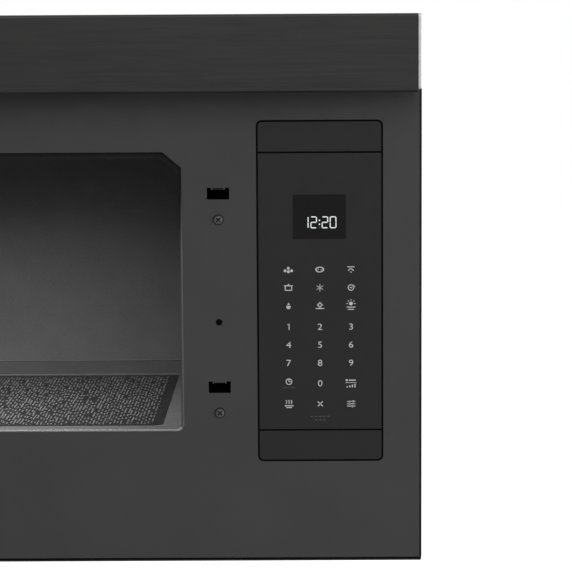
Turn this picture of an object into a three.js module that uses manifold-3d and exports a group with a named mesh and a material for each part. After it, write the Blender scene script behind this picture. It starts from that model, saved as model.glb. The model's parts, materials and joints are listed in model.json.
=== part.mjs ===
// An over the range microwave oven: oven, hood and full-width door, hung on a wall, the door standing open.
// Millimetres. X runs to the right, Y into the wall and Z up. The wall is the plane y = 0.
// Heights in this file are above the underside; the last lines set the origin on the wall plate.

import * as THREE from 'three';
import { mergeVertices } from 'three/addons/utils/BufferGeometryUtils.js';
import Module from 'manifold-3d';

const wasm = await Module();
wasm.setup();

// ---------------------------------------------------------------- driving dimensions

const CLEARANCE = 0.3; // between pieces that seat on each other
const RUNNING = 0.6; // between a turning piece and what surrounds it
const SHEET = 1.2; // steel sheet
const CUT_OVER = 2; // how far a cutter reaches past what it cuts
const ROUND_SIDES = 20; // facets of a full circle
const CORNER_STEPS = 3; // facets of a rounded corner

// Cabinet
const BODY_WIDTH = 759;
const BODY_HEIGHT = 433;
const BODY_DEPTH = 405; // wall to the face of the front frame
const WALL_POINT_HEIGHT = 200; // the origin, on the wall plate
const FRAME_BOTTOM = 3.2;
const FRAME_RETURN = 14; // flange turned back round the frame
const FRAME_CORNER = 2;
const PAN_FLOOR = 2; // thickness of the underside's pressing
const PAN_WALL_HEIGHT = 24;
const PAN_CORNER = 5;
const DECK_HEIGHT = 46.5;
const AIR_COLUMNS = [-3, -2, -1, 1]; // openings that let hood air rise behind the oven
const AIR_PITCH = 106;
const AIR_WIDTH = 92;
const AIR_LENGTH = 74;
const CABINET_BOLT = 4; // radius of the two bolt holes in the top
const CABINET_BOLT_OFFSET = 290; // of each from the middle
const CABINET_BOLT_BACK = 70; // from the frame's face

// Wall plate
const WALL_PLATE = 1.6;
const WALL_PLATE_MARGIN = 7;
const WALL_PLATE_LOW = 20;
const WALL_WINDOW = 88;
const WALL_WINDOW_PITCH = 140;
const WALL_WINDOW_LOW = 62;
const WALL_WINDOW_ROWS = 3;
const WALL_WINDOW_RISE = 122;
const HOOK_OFFSET = 250; // of each wall hook from the middle
const HOOK_WIDTH = 40;
const HOOK_REACH = 11;
const HOOK_LIP = 8;

// Oven cavity and its opening in the frame
const OPENING_MARGIN_LEFT = 61.5;
const OPENING_MARGIN_RIGHT = 187.9;
const OPENING_FLOOR = 105.3;
const OPENING_MARGIN_TOP = 107; // top of the opening to the top of the body
const OPENING_CHAMFER_X = 14.6;
const OPENING_CHAMFER_Z = 12.2;
const OPENING_CORNER = 5;
const OPENING_RETURN = 6;
const LINER_WALL = 1.5;
const LINER_INSET_SIDE = 2; // liner inside the frame's opening
const LINER_INSET_TOP = 5.3;
const LINER_INSET_FLOOR = 0.5; // below the opening's sill
const LINER_FLANGE = 11;
const CAVITY_DEPTH = 288; // frame face to the back wall
const STEP_HEIGHT = 16;
const STEP_DEPTH = 12;
const PLATE_THICKNESS = 4.2;
const PLATE_MARGIN_SIDE = 12.6;
const PLATE_FRONT = 30; // behind the frame's face
const PLATE_CORNER = 9;
const SEAL_WIDTH = 1.6;
const WELL_WIDTH = 210;
const WELL_LENGTH = 190;
const WELL_DEPTH = 17;
const STIRRER_BACK = 150; // stirrer axis, behind the frame's face
const STIRRER_CAN = 17; // height of its motor
const STIRRER_CAN_RADIUS = 24;
const STIRRER_BORE = 8;
const STIRRER_HUB = 14;
const STIRRER_RADIUS = 80;
const STIRRER_ARMS = 3;
const VANE_START = 32; // where an arm widens into its vane
const VANE_FULL = 48;
const VANE_WIDTH = 21;
const WAVEGUIDE_WIDTH = 90;
const WAVEGUIDE_LEFT = 52; // from the stirrer axis to the closed end
const COUPLING_RADIUS = 22;

// Front strip with its grille
const STRIP_HEIGHT = 59.5;
const STRIP_PROUD = 45;
const STRIP_END_INSET = 4.2; // strip face to the side of the body
const STRIP_TOP_FLANGE = 10;
const STRIP_CORNER = 2;
const END_CAP = 1.8;
const GRILLE_THICKNESS = 1.8;
const GRILLE_SLOTS = 22;
const GRILLE_BRIDGE = 8;
const VENT_WINDOWS = 4;
const VENT_WINDOW_WIDTH = 150;
const VENT_WINDOW_BRIDGE = 14;
const VENT_WINDOW_HEIGHT = 36;
const CHARCOAL_THICKNESS = 16;
const CHARCOAL_GROOVES = 14;
const CHARCOAL_RIB = 4;
const CHARCOAL_POCKET = 2.4;

// Control panel
const PANEL_FROM_SIDE = 79.45; // its middle, from the right side of the body
const PANEL_LOW = 80.2;
const PANEL_WIDTH = 99.2;
const PANEL_MARGIN_TOP = 82.4;
const PANEL_CORNER = 4.6;
const PANEL_GAP = 1.2; // dark line round the plates
const PANEL_CAP_LOW = 25.1; // underside of the panel to the lower divider
const PANEL_CAP_HIGH = 25.3; // upper divider to the top of the panel
const PANEL_THICKNESS = 3.2;
const TRAY_LIP = 6;
const TRAY_DEPTH = 8;
const DISPLAY_WIDTH = 41.4;
const DISPLAY_HEIGHT = 34.9;
const DISPLAY_DROP = 93.4; // its lower edge below the top of the panel
const BOARD_THICKNESS = 1.6;
const BOARD_STANDOFF = 8;
const BOARD_RELAYS = 5;
const RELAY_PITCH = 24;
const RELAY_WIDTH = 17;
const RELAY_HEIGHT = 14;
const SUPPLY_WIDTH = 34; // transformer on the board
const SUPPLY_HEIGHT = 22;

// Latch
const LATCH_FROM_SIDE = 159.1;
const LATCH_LOW = 34.5; // middle of the lower slot above the opening's sill
const LATCH_HIGH = 32.7; // middle of the upper one below the opening's top
const SLOT_WIDTH = 17.4;
const SLOT_HEIGHT = 9.2;
const SLOT_TAB_WIDTH = 11;
const SLOT_TAB_DROP = 1.6;
const HOOK_THICKNESS = 5;
const HOOK_ARM = 3.6;
const HOOK_BARB = 1.6;
const HOOK_PASS = 0.5; // under the barb as it enters its slot
const HOOK_LENGTH = 22; // behind the frame's face when closed
const BRACKET_WIDTH = 34;
const BRACKET_DEPTH = 33;
const BRACKET_WALL = 3;
const BRACKET_HOLLOWS = 3; // between its two chambers
const PLUNGER_TRAVEL = 2.5;
const PLUNGER_WIDTH = 12;
const PLUNGER_HEIGHT = 5;
const STEM_WIDTH = 7;
const STEM_HEIGHT = 3.4;
const SWITCH_LENGTH = 20;
const SWITCH_WIDTH = 10;
const SWITCH_HEIGHT = 15;
const TAG_LENGTH = 6; // flat terminals
const SCREW_DROP = 20.6; // of each screw below its slot
const SCREW_HEAD = 3.9;
const SCREW_HEAD_HEIGHT = 1.5;
const SCREW_SHANK = 1.9;
const SCREW_LENGTH = 9;
const PEEP_HOLE_DROP = 101.6; // plain hole in the frame, below the upper slot
const PEEP_HOLE = 2.4;

// Door
const DOOR_THICKNESS = 45;
const DOOR_GAP = 3; // to the frame when closed
const DOOR_LOW = 6;
const DOOR_STRIP_GAP = 3.5; // below the front strip
const DOOR_OPEN_DEGREES = 90;
const HINGE_INSET = 12; // from the door's left edge
const HINGE_BACK = 30; // from the door's back face
const HINGE_PIN = 3.2;
const HINGE_PIN_LENGTH = 14;
const HINGE_ARM = 8; // half its width
const HINGE_PLATE = 2.5; // thickness of the arm
const HINGE_FOOT_PLATE = 1.6;
const HINGE_EDGE = 5; // chamfer on the edge of the door that swings past the foot
const HINGE_END = 5; // door end to the arm
const HINGE_FOOT = 34; // height of the foot on the frame
const SKIN_RETURN = 24;
const SKIN_CORNER = 3;
const GLASS_THICKNESS = 4;
const WINDOW_INSET = 22; // door window inside the cavity opening
const WINDOW_CORNER = 10;
const TUNNEL_WALL = 2.5;
const RIB_SHARES = [0.2, 0.4, 0.6, 0.8]; // places of the carrier's ribs across the window
const BUSH_LENGTH = 20.8;
const CHOKE_WIDTH = 24;
const CHOKE_DEPTH = 8;
const CHOKE_SLOTS = 16;
const SCREEN_THICKNESS = 1;
const LINER_PANEL = 2.4;
const COVER_THICKNESS = 2.4;
const KEYS_FROM_SIDE = 95.5; // middle of the touch strip on the door
const KEYS_WIDTH = 38;
const KEYS_MARGIN_LOW = 54; // to the door's lower edge
const KEYS_MARGIN_HIGH = 58;
const HANDLE_FROM_SIDE = 33.5;
const HANDLE_MARGIN_LOW = 38;
const HANDLE_MARGIN_HIGH = 42;
const HANDLE_WIDTH = 20;
const HANDLE_DEPTH = 13;
const HANDLE_CORNER = 5.2;
const HANDLE_GAP = 32;
const POST_INSET = 24;
const POST_WIDTH = 15;
const POST_HEIGHT = 24;
const LATCH_BAR_WIDTH = 16;
const LATCH_BAR_DEPTH = 8;
const LATCH_TRAVEL = 1.6;

// Hood
const FILTER_INNER = 40; // filter edge from the middle
const FILTER_MARGIN = 77.5; // filter edge from the side of the body
const FILTER_LENGTH = 152;
const FILTER_FRONT = 96;
const FILTER_RIM = 9;
const FILTER_LIP = 5; // rests on the pan
const FILTER_THICKNESS = 9;
const FILTER_STRANDS = 15;
const LAMP_FRONT = 34;
const LAMP_WIDTH = 120;
const LAMP_LENGTH = 42;
const LAMP_LIP = 3;
const LENS_THICKNESS = 2.5;
const LAMP_HEIGHT = 14;
const STRAND_WIDTH = 1.8;

// Ventilation blower and exhaust damper
const BLOWER_BACK = 58; // shaft from the wall
const BLOWER_DROP = 70; // shaft below the top of the body
const WHEEL_RADIUS = 36;
const WHEEL_WIDTH = 88;
const WHEEL_BLADES = 18;
const BLADE_CHORD = 11;
const BLADE_THICKNESS = 1;
const BLADE_BEND = 7.7;
const WHEEL_RING = 2.5;
const SCROLL_START = 39;
const SCROLL_GROWTH = 9;
const SCROLL_WALL = 1.6;
const SCROLL_INLET = 29;
const SCROLL_STEPS = 12;
const MOTOR_RADIUS = 34;
const MOTOR_LENGTH = 86;
const SHAFT_RADIUS = 4;
const PLENUM_HEIGHT = 20;
const DAMPER_WIDTH = 254;
const DAMPER_LENGTH = 83;
const DAMPER_DEPTH = 13;
const DAMPER_WALL = 2;
const FLAP_THICKNESS = 1.4;
const FLAP_PIN = 2;

// Oven electrics
const FAN_FROM_SIDE = 93.5;
const FAN_HEIGHT = 152;
const FAN_RADIUS = 50;
const FAN_BACK = 70; // shroud behind the frame's face
const FAN_BLADES = 5;
const FAN_BLADE_TILT = 55;
const FAN_HUB = 15;
const FAN_DEPTH = 22;
const VANE_CHORD = 30.8;
const SHROUD_HEIGHT = 236;
const MAGNETRON_FROM_SIDE = 121.5;
const MAGNETRON_WIDTH = 84;
const MAGNETRON_HEIGHT = 88;
const MAGNETRON_LENGTH = 75.6;
const MAGNETRON_FINS = 6;
const FIN_LOW = 22; // first fin above the base
const FIN_ZONE = 48.4; // height that the fins share
const ANODE_RADIUS = 20;
const FILTER_BOX = 12.3; // on top of it
const ANTENNA_RADIUS = 8;
const ANTENNA_LENGTH = 17.6;
const TRANSFORMER_FROM_SIDE = 89.5;
const TRANSFORMER_WIDTH = 104;
const TRANSFORMER_LENGTH = 74;
const TRANSFORMER_HEIGHT = 84;
const CAPACITOR_FROM_SIDE = 157.5;
const WINDING_INSET = 18.7; // windings inside the core's sides
const WINDING_OVERHANG = 10.4;
const WINDING_MARGIN = 16.8;
const CAPACITOR_LENGTH = 54;
const CAPACITOR_WIDTH = 32;
const CAPACITOR_HEIGHT = 92;
const CAPACITOR_CORNER = 14.4;
const OVEN_LAMP_SIZE = 42;
const OVEN_LAMP_RISE = 132; // above the cavity's floor
const OVEN_LAMP_SOCKET = 10.5;
const OVEN_LAMP_LENGTH = 33;
const GROMMET_RADIUS = 13;
const GROMMET_FLANGE = 1.6;
const GROMMET_FROM_SIDE = 49.5;

// ---------------------------------------------------------------- planes and spans worked out from them

const FACE = -BODY_DEPTH; // face of the front frame
const HALF = BODY_WIDTH / 2;
const behind = (distance) => FACE + distance;
const inset = ([low, high], by) => [low + by, high - by];
const grown = ([low, high], by) => [low - by, high + by];
const around = (centre, size) => [centre - size / 2, centre + size / 2];
const middle = ([low, high]) => (low + high) / 2;
const mirrored = (side, [low, high]) => (side < 0 ? [-high, -low] : [low, high]);

const openingX = [-HALF + OPENING_MARGIN_LEFT, HALF - OPENING_MARGIN_RIGHT];
const openingZ = [OPENING_FLOOR, BODY_HEIGHT - OPENING_MARGIN_TOP];
const linerX = inset(openingX, LINER_INSET_SIDE);
const linerZ = [openingZ[0] - LINER_INSET_FLOOR, openingZ[1] - LINER_INSET_TOP];
const linerFront = behind(OPENING_RETURN + CLEARANCE);
const cavityBack = behind(CAVITY_DEPTH);
const stirrerX = middle(linerX);
const stirrerY = behind(STIRRER_BACK);
const stripLow = BODY_HEIGHT - STRIP_HEIGHT;
const wrapperHalf = HALF - SHEET - CLEARANCE;
const wrapperTop = BODY_HEIGHT;
const innerHalf = wrapperHalf - SHEET - CLEARANCE;
const innerTop = wrapperTop - SHEET - CLEARANCE;
const innerFront = behind(SHEET + CLEARANCE);
const rearPanelBack = -WALL_PLATE - CLEARANCE;
const rearPanelFront = rearPanelBack - SHEET;
const innerBack = rearPanelFront - CLEARANCE;
const deckTop = DECK_HEIGHT + SHEET;
const latchX = HALF - LATCH_FROM_SIDE;
const slotHeights = [openingZ[0] + LATCH_LOW, openingZ[1] - LATCH_HIGH];
const doorZ = [DOOR_LOW, stripLow - DOOR_STRIP_GAP];
const doorBack = FACE - DOOR_GAP;
const doorFront = doorBack - DOOR_THICKNESS;
const hingeX = -HALF + HINGE_INSET;
const hingeY = doorBack - HINGE_BACK;
const windowX = inset(openingX, WINDOW_INSET);
const windowZ = inset(openingZ, WINDOW_INSET);

const plateX = inset(linerX, PLATE_MARGIN_SIDE);
const plateY = [behind(PLATE_FRONT), cavityBack - STEP_DEPTH - SEAL_WIDTH - LINER_WALL];
const wellX = around(stirrerX, WELL_WIDTH);
const wellY = around(stirrerY, WELL_LENGTH);
const wellLow = linerZ[0] - PLATE_THICKNESS - CLEARANCE - WELL_DEPTH;
const panelX = around(HALF - PANEL_FROM_SIDE, PANEL_WIDTH);
const panelZ = [PANEL_LOW, BODY_HEIGHT - PANEL_MARGIN_TOP];
const lampX = around(0, LAMP_WIDTH);
const lampY = [behind(LAMP_FRONT), behind(LAMP_FRONT + LAMP_LENGTH)];
const filterY = [behind(FILTER_FRONT), behind(FILTER_FRONT + FILTER_LENGTH)];
const filterX = (side) => mirrored(side, [FILTER_INNER, HALF - FILTER_MARGIN]);
const magnetronX = HALF - MAGNETRON_FROM_SIDE;

const chamberBack = behind(BRACKET_DEPTH - BRACKET_WALL);
const plungerBack = chamberBack - PLUNGER_TRAVEL - CLEARANCE;
const plungerFront = behind(HOOK_LENGTH + RUNNING);
const stemBack = behind(BRACKET_DEPTH) + PLUNGER_TRAVEL;
const switchFront = stemBack + PLUNGER_TRAVEL + CLEARANCE;

const blowerHeight = BODY_HEIGHT - BLOWER_DROP;
const wheelInner = MOTOR_LENGTH / 2 + CLEARANCE + SCROLL_WALL + RUNNING * 2;
const scrollX = [MOTOR_LENGTH / 2 + CLEARANCE, wheelInner + WHEEL_WIDTH + RUNNING * 2 + SCROLL_WALL];
const scrollY = [-BLOWER_BACK - SCROLL_START, -BLOWER_BACK + SCROLL_START + SCROLL_GROWTH];
const damperX = around(0, DAMPER_WIDTH);
const damperY = around(-BLOWER_BACK, DAMPER_LENGTH);
const plenumY = [
  Math.min(damperY[0] - DAMPER_WALL, scrollY[0] - SCROLL_WALL),
  Math.max(damperY[1] + DAMPER_WALL, scrollY[1] + SCROLL_WALL),
];
const plenumZ = [innerTop - CLEARANCE - PLENUM_HEIGHT, innerTop - CLEARANCE];

const doorX = [-HALF, HALF];
const keysX = around(HALF - KEYS_FROM_SIDE, KEYS_WIDTH);
const keysZ = [doorZ[0] + KEYS_MARGIN_LOW, doorZ[1] - KEYS_MARGIN_HIGH];
const handleX = around(HALF - HANDLE_FROM_SIDE, HANDLE_WIDTH);
const handleZ = [doorZ[0] + HANDLE_MARGIN_LOW, doorZ[1] - HANDLE_MARGIN_HIGH];
const postHeights = inset(handleZ, POST_INSET);
const carrierBack = doorBack - LINER_PANEL - CHOKE_DEPTH - SCREEN_THICKNESS - CLEARANCE * 3;
const latchBarBack = carrierBack - TUNNEL_WALL - CLEARANCE;
const latchBarY = [latchBarBack - LATCH_BAR_DEPTH, latchBarBack];
const bushX = [-HALF + SHEET + CLEARANCE, hingeX + HINGE_INSET];
const bushY = around(hingeY, BUSH_LENGTH);
const chokeX = grown(openingX, CHOKE_WIDTH / 2);
const chokeZ = grown(openingZ, CHOKE_WIDTH / 2);

// ---------------------------------------------------------------- solids

const X_AXIS = new THREE.Vector3(1, 0, 0);
const Y_AXIS = new THREE.Vector3(0, 1, 0);
const Z_AXIS = new THREE.Vector3(0, 0, 1);
const DRAWN_ON = {
  x: new THREE.Matrix4().makeBasis(Y_AXIS, Z_AXIS, X_AXIS), // a (y, z) outline pulled along X
  y: new THREE.Matrix4().makeBasis(X_AXIS, Z_AXIS, Y_AXIS.clone().negate()), // an (x, z) one along Y
  z: new THREE.Matrix4(), // an (x, y) one along Z
};

function solid(geometry) {
  geometry.deleteAttribute('normal');
  geometry.deleteAttribute('uv');
  const merged = mergeVertices(geometry, 1e-4);
  return new wasm.Manifold(new wasm.Mesh({
    numProp: 3,
    vertProperties: new Float32Array(merged.attributes.position.array),
    triVerts: new Uint32Array(merged.index.array),
  }));
}

function block(x, y, z) {
  const geometry = new THREE.BoxGeometry(x[1] - x[0], y[1] - y[0], z[1] - z[0]);
  geometry.translate(middle(x), middle(y), middle(z));
  return solid(geometry);
}

function prism(outline, axis, [low, high]) {
  const geometry = new THREE.ExtrudeGeometry(outline, {
    depth: high - low,
    bevelEnabled: false,
    curveSegments: CORNER_STEPS,
  });
  geometry.applyMatrix4(DRAWN_ON[axis]);
  const along = axis === 'y' ? high : low;
  const shift = { x: [along, 0, 0], y: [0, along, 0], z: [0, 0, along] }[axis];
  geometry.translate(...shift);
  return solid(geometry);
}

// A round bar along an axis; centre holds the other two coordinates.
function rod(radius, axis, [low, high], centre, sides = ROUND_SIDES) {
  const geometry = new THREE.CylinderGeometry(radius, radius, high - low, sides);
  const along = (low + high) / 2;
  if (axis === 'x') geometry.rotateZ(Math.PI / 2).translate(along, centre[0], centre[1]);
  if (axis === 'y') geometry.translate(centre[0], along, centre[1]);
  if (axis === 'z') geometry.rotateX(Math.PI / 2).translate(centre[0], centre[1], along);
  return solid(geometry);
}

function path(points) {
  return new THREE.Shape(points.map(([x, y]) => new THREE.Vector2(x, y)));
}

function rounded([x0, x1], [y0, y1], radius) {
  const outline = new THREE.Shape();
  outline.moveTo(x0 + radius, y0);
  outline.lineTo(x1 - radius, y0);
  outline.absarc(x1 - radius, y0 + radius, radius, -Math.PI / 2, 0);
  outline.lineTo(x1, y1 - radius);
  outline.absarc(x1 - radius, y1 - radius, radius, 0, Math.PI / 2);
  outline.lineTo(x0 + radius, y1);
  outline.absarc(x0 + radius, y1 - radius, radius, Math.PI / 2, Math.PI);
  outline.lineTo(x0, y0 + radius);
  outline.absarc(x0 + radius, y0 + radius, radius, Math.PI, Math.PI * 1.5);
  return outline;
}

const join = (first, ...others) => others.reduce((sum, next) => sum.add(next), first);
const cut = (first, ...others) => others.reduce((rest, next) => rest.subtract(next), first);

// The cabinet and the door are groups; a piece is a named mesh in one of them.
const cabinet = new THREE.Group();
const door = new THREE.Group();
const finish = (color, roughness, metalness) => ({ color, roughness, metalness });

function piece(group, name, shape, look) {
  const mesh = shape.getMesh();
  const geometry = new THREE.BufferGeometry();
  geometry.setAttribute('position', new THREE.BufferAttribute(mesh.vertProperties, 3));
  geometry.setIndex(new THREE.BufferAttribute(mesh.triVerts, 1));
  geometry.computeVertexNormals();
  const made = new THREE.Mesh(geometry, new THREE.MeshStandardMaterial(look));
  made.name = name;
  group.add(made);
}

const BLACK_STEEL = finish(0x3a3b3d, 0.38, 0.85); // brushed black stainless
const BARE_STEEL = finish(0xb9bbbd, 0.3, 1.0);
const FRAME_PAINT = finish(0x3f4041, 0.6, 0.1);
const GALVANISED = finish(0x9fa3a6, 0.5, 0.9);
const ENAMEL = finish(0x55585a, 0.5, 0.1);
const CERAMIC = finish(0x2b2c2d, 0.4, 0.0);
const PANEL_BLACK = finish(0x2b2c2c, 0.35, 0.0);
const BLACK_PLASTIC = finish(0x1c1c1d, 0.6, 0.0);
const WHITE_PLASTIC = finish(0xd8d8d4, 0.55, 0.0);
const DARK_GLASS = finish(0x101113, 0.08, 0.0);
const CLEAR_GLASS = finish(0xdfe6e8, 0.1, 0.0);
const ALUMINIUM = finish(0xb4b7b9, 0.4, 0.95);
const COPPER = finish(0xa9683c, 0.45, 0.8);
const BOARD_GREEN = finish(0x2d5b3c, 0.6, 0.0);
const CHARCOAL = finish(0x232323, 0.9, 0.0);

// ---------------------------------------------------------------- outer cabinet

// The steel plate that is fastened to the wall first, with stamped windows and two hooks for the cabinet.
function wallPlate() {
  const half = HALF - WALL_PLATE_MARGIN;
  let plate = block([-half, half], [-WALL_PLATE, 0], [WALL_PLATE_LOW, innerTop]);
  for (let row = 0; row < WALL_WINDOW_ROWS; row += 1) {
    const low = WALL_WINDOW_LOW + row * WALL_WINDOW_RISE;
    for (const column of [-2, -1, 1, 2]) {
      const x = around(column * WALL_WINDOW_PITCH, WALL_WINDOW);
      plate = plate.subtract(block(x, [-WALL_PLATE - CUT_OVER, CUT_OVER], [low, low + WALL_WINDOW]));
    }
  }
  for (const side of [-1, 1]) {
    const x = around(side * HOOK_OFFSET, HOOK_WIDTH);
    const low = WALL_PLATE_LOW;
    const tongue = block(x, [-HOOK_REACH, -WALL_PLATE / 2], [low, low + WALL_PLATE]);
    const lip = block(x, [-HOOK_REACH, -HOOK_REACH + WALL_PLATE], [low, low + HOOK_LIP]);
    plate = join(plate, tongue, lip);
  }
  piece(cabinet, 'wall_plate', plate, GALVANISED);
}

function rearPanel() {
  const low = PAN_FLOOR + CLEARANCE;
  const panel = block([-innerHalf, innerHalf], [rearPanelFront, rearPanelBack], [low, innerTop]);
  piece(cabinet, 'rear_panel', cut(panel, ...hookRoom()), GALVANISED);
}

// The slots that the two wall hooks reach through.
function hookRoom() {
  return [-1, 1].map((side) => block(
    grown(around(side * HOOK_OFFSET, HOOK_WIDTH), CUT_OVER),
    [-HOOK_REACH - CUT_OVER, rearPanelBack + CUT_OVER],
    [WALL_PLATE_LOW - CUT_OVER, WALL_PLATE_LOW + HOOK_LIP + CUT_OVER],
  ));
}

// Top and both sides in one bent sheet, with the exhaust opening, the hole for the supply lead's grommet and
// the two holes for the bolts that come down through the floor of the kitchen cabinet above.
function wrapper() {
  const low = FRAME_BOTTOM + SHEET + CLEARANCE;
  const outer = block([-wrapperHalf, wrapperHalf], [innerFront, rearPanelBack], [low, wrapperTop]);
  const hollow = block(
    inset([-wrapperHalf, wrapperHalf], SHEET),
    [innerFront - CUT_OVER, rearPanelBack + CUT_OVER],
    [low - CUT_OVER, wrapperTop - SHEET],
  );
  const through = [wrapperTop - SHEET - CUT_OVER, wrapperTop + CUT_OVER];
  const exhaust = block(grown(damperX, CLEARANCE), grown(damperY, CLEARANCE), through);
  const lead = rod(GROMMET_RADIUS - SHEET, 'z', through, [HALF - GROMMET_FROM_SIDE, -BLOWER_BACK]);
  const bolts = [-1, 1].map((side) => {
    const place = [side * CABINET_BOLT_OFFSET, behind(CABINET_BOLT_BACK)];
    return rod(CABINET_BOLT, 'z', through, place);
  });
  piece(cabinet, 'wrapper', cut(outer, hollow, exhaust, lead, ...bolts), FRAME_PAINT);
}

// The outline of the cavity, with two corners cut off at the top and two rounded ones at the floor.
function cavityOutline(x, z, grow) {
  const [x0, x1] = grown(x, grow);
  const [z0, z1] = grown(z, grow);
  const radius = OPENING_CORNER + grow;
  const outline = new THREE.Shape();
  outline.moveTo(x0 + radius, z0);
  outline.lineTo(x1 - radius, z0);
  outline.absarc(x1 - radius, z0 + radius, radius, -Math.PI / 2, 0);
  outline.lineTo(x1, z1 - OPENING_CHAMFER_Z);
  outline.lineTo(x1 - OPENING_CHAMFER_X, z1);
  outline.lineTo(x0 + OPENING_CHAMFER_X, z1);
  outline.lineTo(x0, z1 - OPENING_CHAMFER_Z);
  outline.lineTo(x0, z0 + radius);
  outline.absarc(x0 + radius, z0 + radius, radius, Math.PI, Math.PI * 1.5);
  return outline;
}

function latchSlot(height) {
  const through = [FACE - CUT_OVER, behind(SHEET + CUT_OVER)];
  const z = around(height, SLOT_HEIGHT);
  const tabX = around(latchX, SLOT_TAB_WIDTH);
  const tab = block(tabX, through, [z[1] - SLOT_TAB_DROP, z[1] + CUT_OVER]);
  return cut(block(around(latchX, SLOT_WIDTH), through, z), tab);
}

// The painted face that the door closes on: a pressing with flanges turned back round its rim and openings.
function frontFrame() {
  const x = [-HALF, HALF];
  const z = [FRAME_BOTTOM, BODY_HEIGHT];
  const deep = [FACE, behind(FRAME_RETURN)];
  const through = [FACE - CUT_OVER, behind(FRAME_RETURN + CUT_OVER)];
  const shell = prism(rounded(x, z, FRAME_CORNER), 'y', deep);
  const hollow = block(inset(x, SHEET), [behind(SHEET), through[1]], [z[0] + SHEET, z[1] + CUT_OVER]);
  const upperFlange = block([-innerHalf, innerHalf], deep, [innerTop - SHEET, innerTop]);
  const lining = prism(cavityOutline(openingX, openingZ, SHEET), 'y', [FACE, behind(OPENING_RETURN)]);
  const opening = prism(cavityOutline(openingX, openingZ, 0), 'y', through);
  let frame = join(cut(shell, hollow), upperFlange, lining);
  frame = cut(frame, opening, prism(rounded(panelX, panelZ, PANEL_CORNER), 'y', through));
  for (const height of slotHeights) frame = frame.subtract(latchSlot(height));
  const peep = [latchX, slotHeights[1] - PEEP_HOLE_DROP];
  frame = frame.subtract(rod(PEEP_HOLE, 'y', through, peep, ROUND_SIDES / 2));
  for (const height of slotHeights) {
    const place = [latchX, height - SCREW_DROP];
    frame = frame.subtract(rod(SCREW_SHANK + CLEARANCE, 'y', through, place, ROUND_SIDES / 2));
  }
  const ventLow = stripLow + (STRIP_HEIGHT - VENT_WINDOW_HEIGHT) / 2;
  for (let window = 0; window < VENT_WINDOWS; window += 1) {
    const offset = (window - (VENT_WINDOWS - 1) / 2) * (VENT_WINDOW_WIDTH + VENT_WINDOW_BRIDGE);
    const hole = block(around(offset, VENT_WINDOW_WIDTH), through, [ventLow, ventLow + VENT_WINDOW_HEIGHT]);
    frame = frame.subtract(hole);
  }
  piece(cabinet, 'front_frame', frame, FRAME_PAINT);
}

// The underside: a tray with two filter openings and a lamp window.
function bottomPan() {
  const plan = rounded([-HALF, HALF], [FACE, rearPanelBack], PAN_CORNER);
  const wallX = [-innerHalf, innerHalf];
  const wallY = [behind(FRAME_RETURN + CLEARANCE), innerBack];
  const wallZ = [PAN_FLOOR / 2, PAN_FLOOR + PAN_WALL_HEIGHT];
  const walls = cut(
    block(wallX, wallY, wallZ),
    block(inset(wallX, SHEET), inset(wallY, SHEET), grown(wallZ, CUT_OVER)),
  );
  let pan = join(prism(plan, 'z', [0, PAN_FLOOR]), walls);
  const through = [-CUT_OVER, PAN_FLOOR + CUT_OVER];
  for (const side of [-1, 1]) {
    pan = pan.subtract(prism(rounded(filterX(side), filterY, FILTER_LIP), 'z', through));
  }
  pan = pan.subtract(prism(rounded(lampX, lampY, LAMP_LIP), 'z', through));
  piece(cabinet, 'bottom_pan', cut(pan, ...hookRoom()), FRAME_PAINT);
}

// Sheet floor of the oven compartment: its turned-down rims stand on the walls of the pan.
function plenumDeck() {
  const x = [-innerHalf, innerHalf];
  const y = [behind(FRAME_RETURN + CLEARANCE), innerBack];
  const low = PAN_FLOOR + PAN_WALL_HEIGHT + CLEARANCE;
  const tray = cut(
    block(x, y, [low, deckTop]),
    block(inset(x, SHEET), inset(y, SHEET), [low - CUT_OVER, DECK_HEIGHT]),
  );
  const through = [DECK_HEIGHT - CUT_OVER, deckTop + CUT_OVER];
  let deck = cut(tray, rod(SHAFT_RADIUS + RUNNING, 'z', through, [stirrerX, stirrerY]));
  for (const column of AIR_COLUMNS) {
    const airX = around(column * AIR_PITCH, AIR_WIDTH);
    deck = deck.subtract(block(airX, around(-BLOWER_BACK, AIR_LENGTH), through));
  }
  piece(cabinet, 'plenum_deck', deck, GALVANISED);
}

wallPlate();
rearPanel();
wrapper();
frontFrame();
bottomPan();
plenumDeck();

// ---------------------------------------------------------------- front strip, grille and charcoal filter

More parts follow.
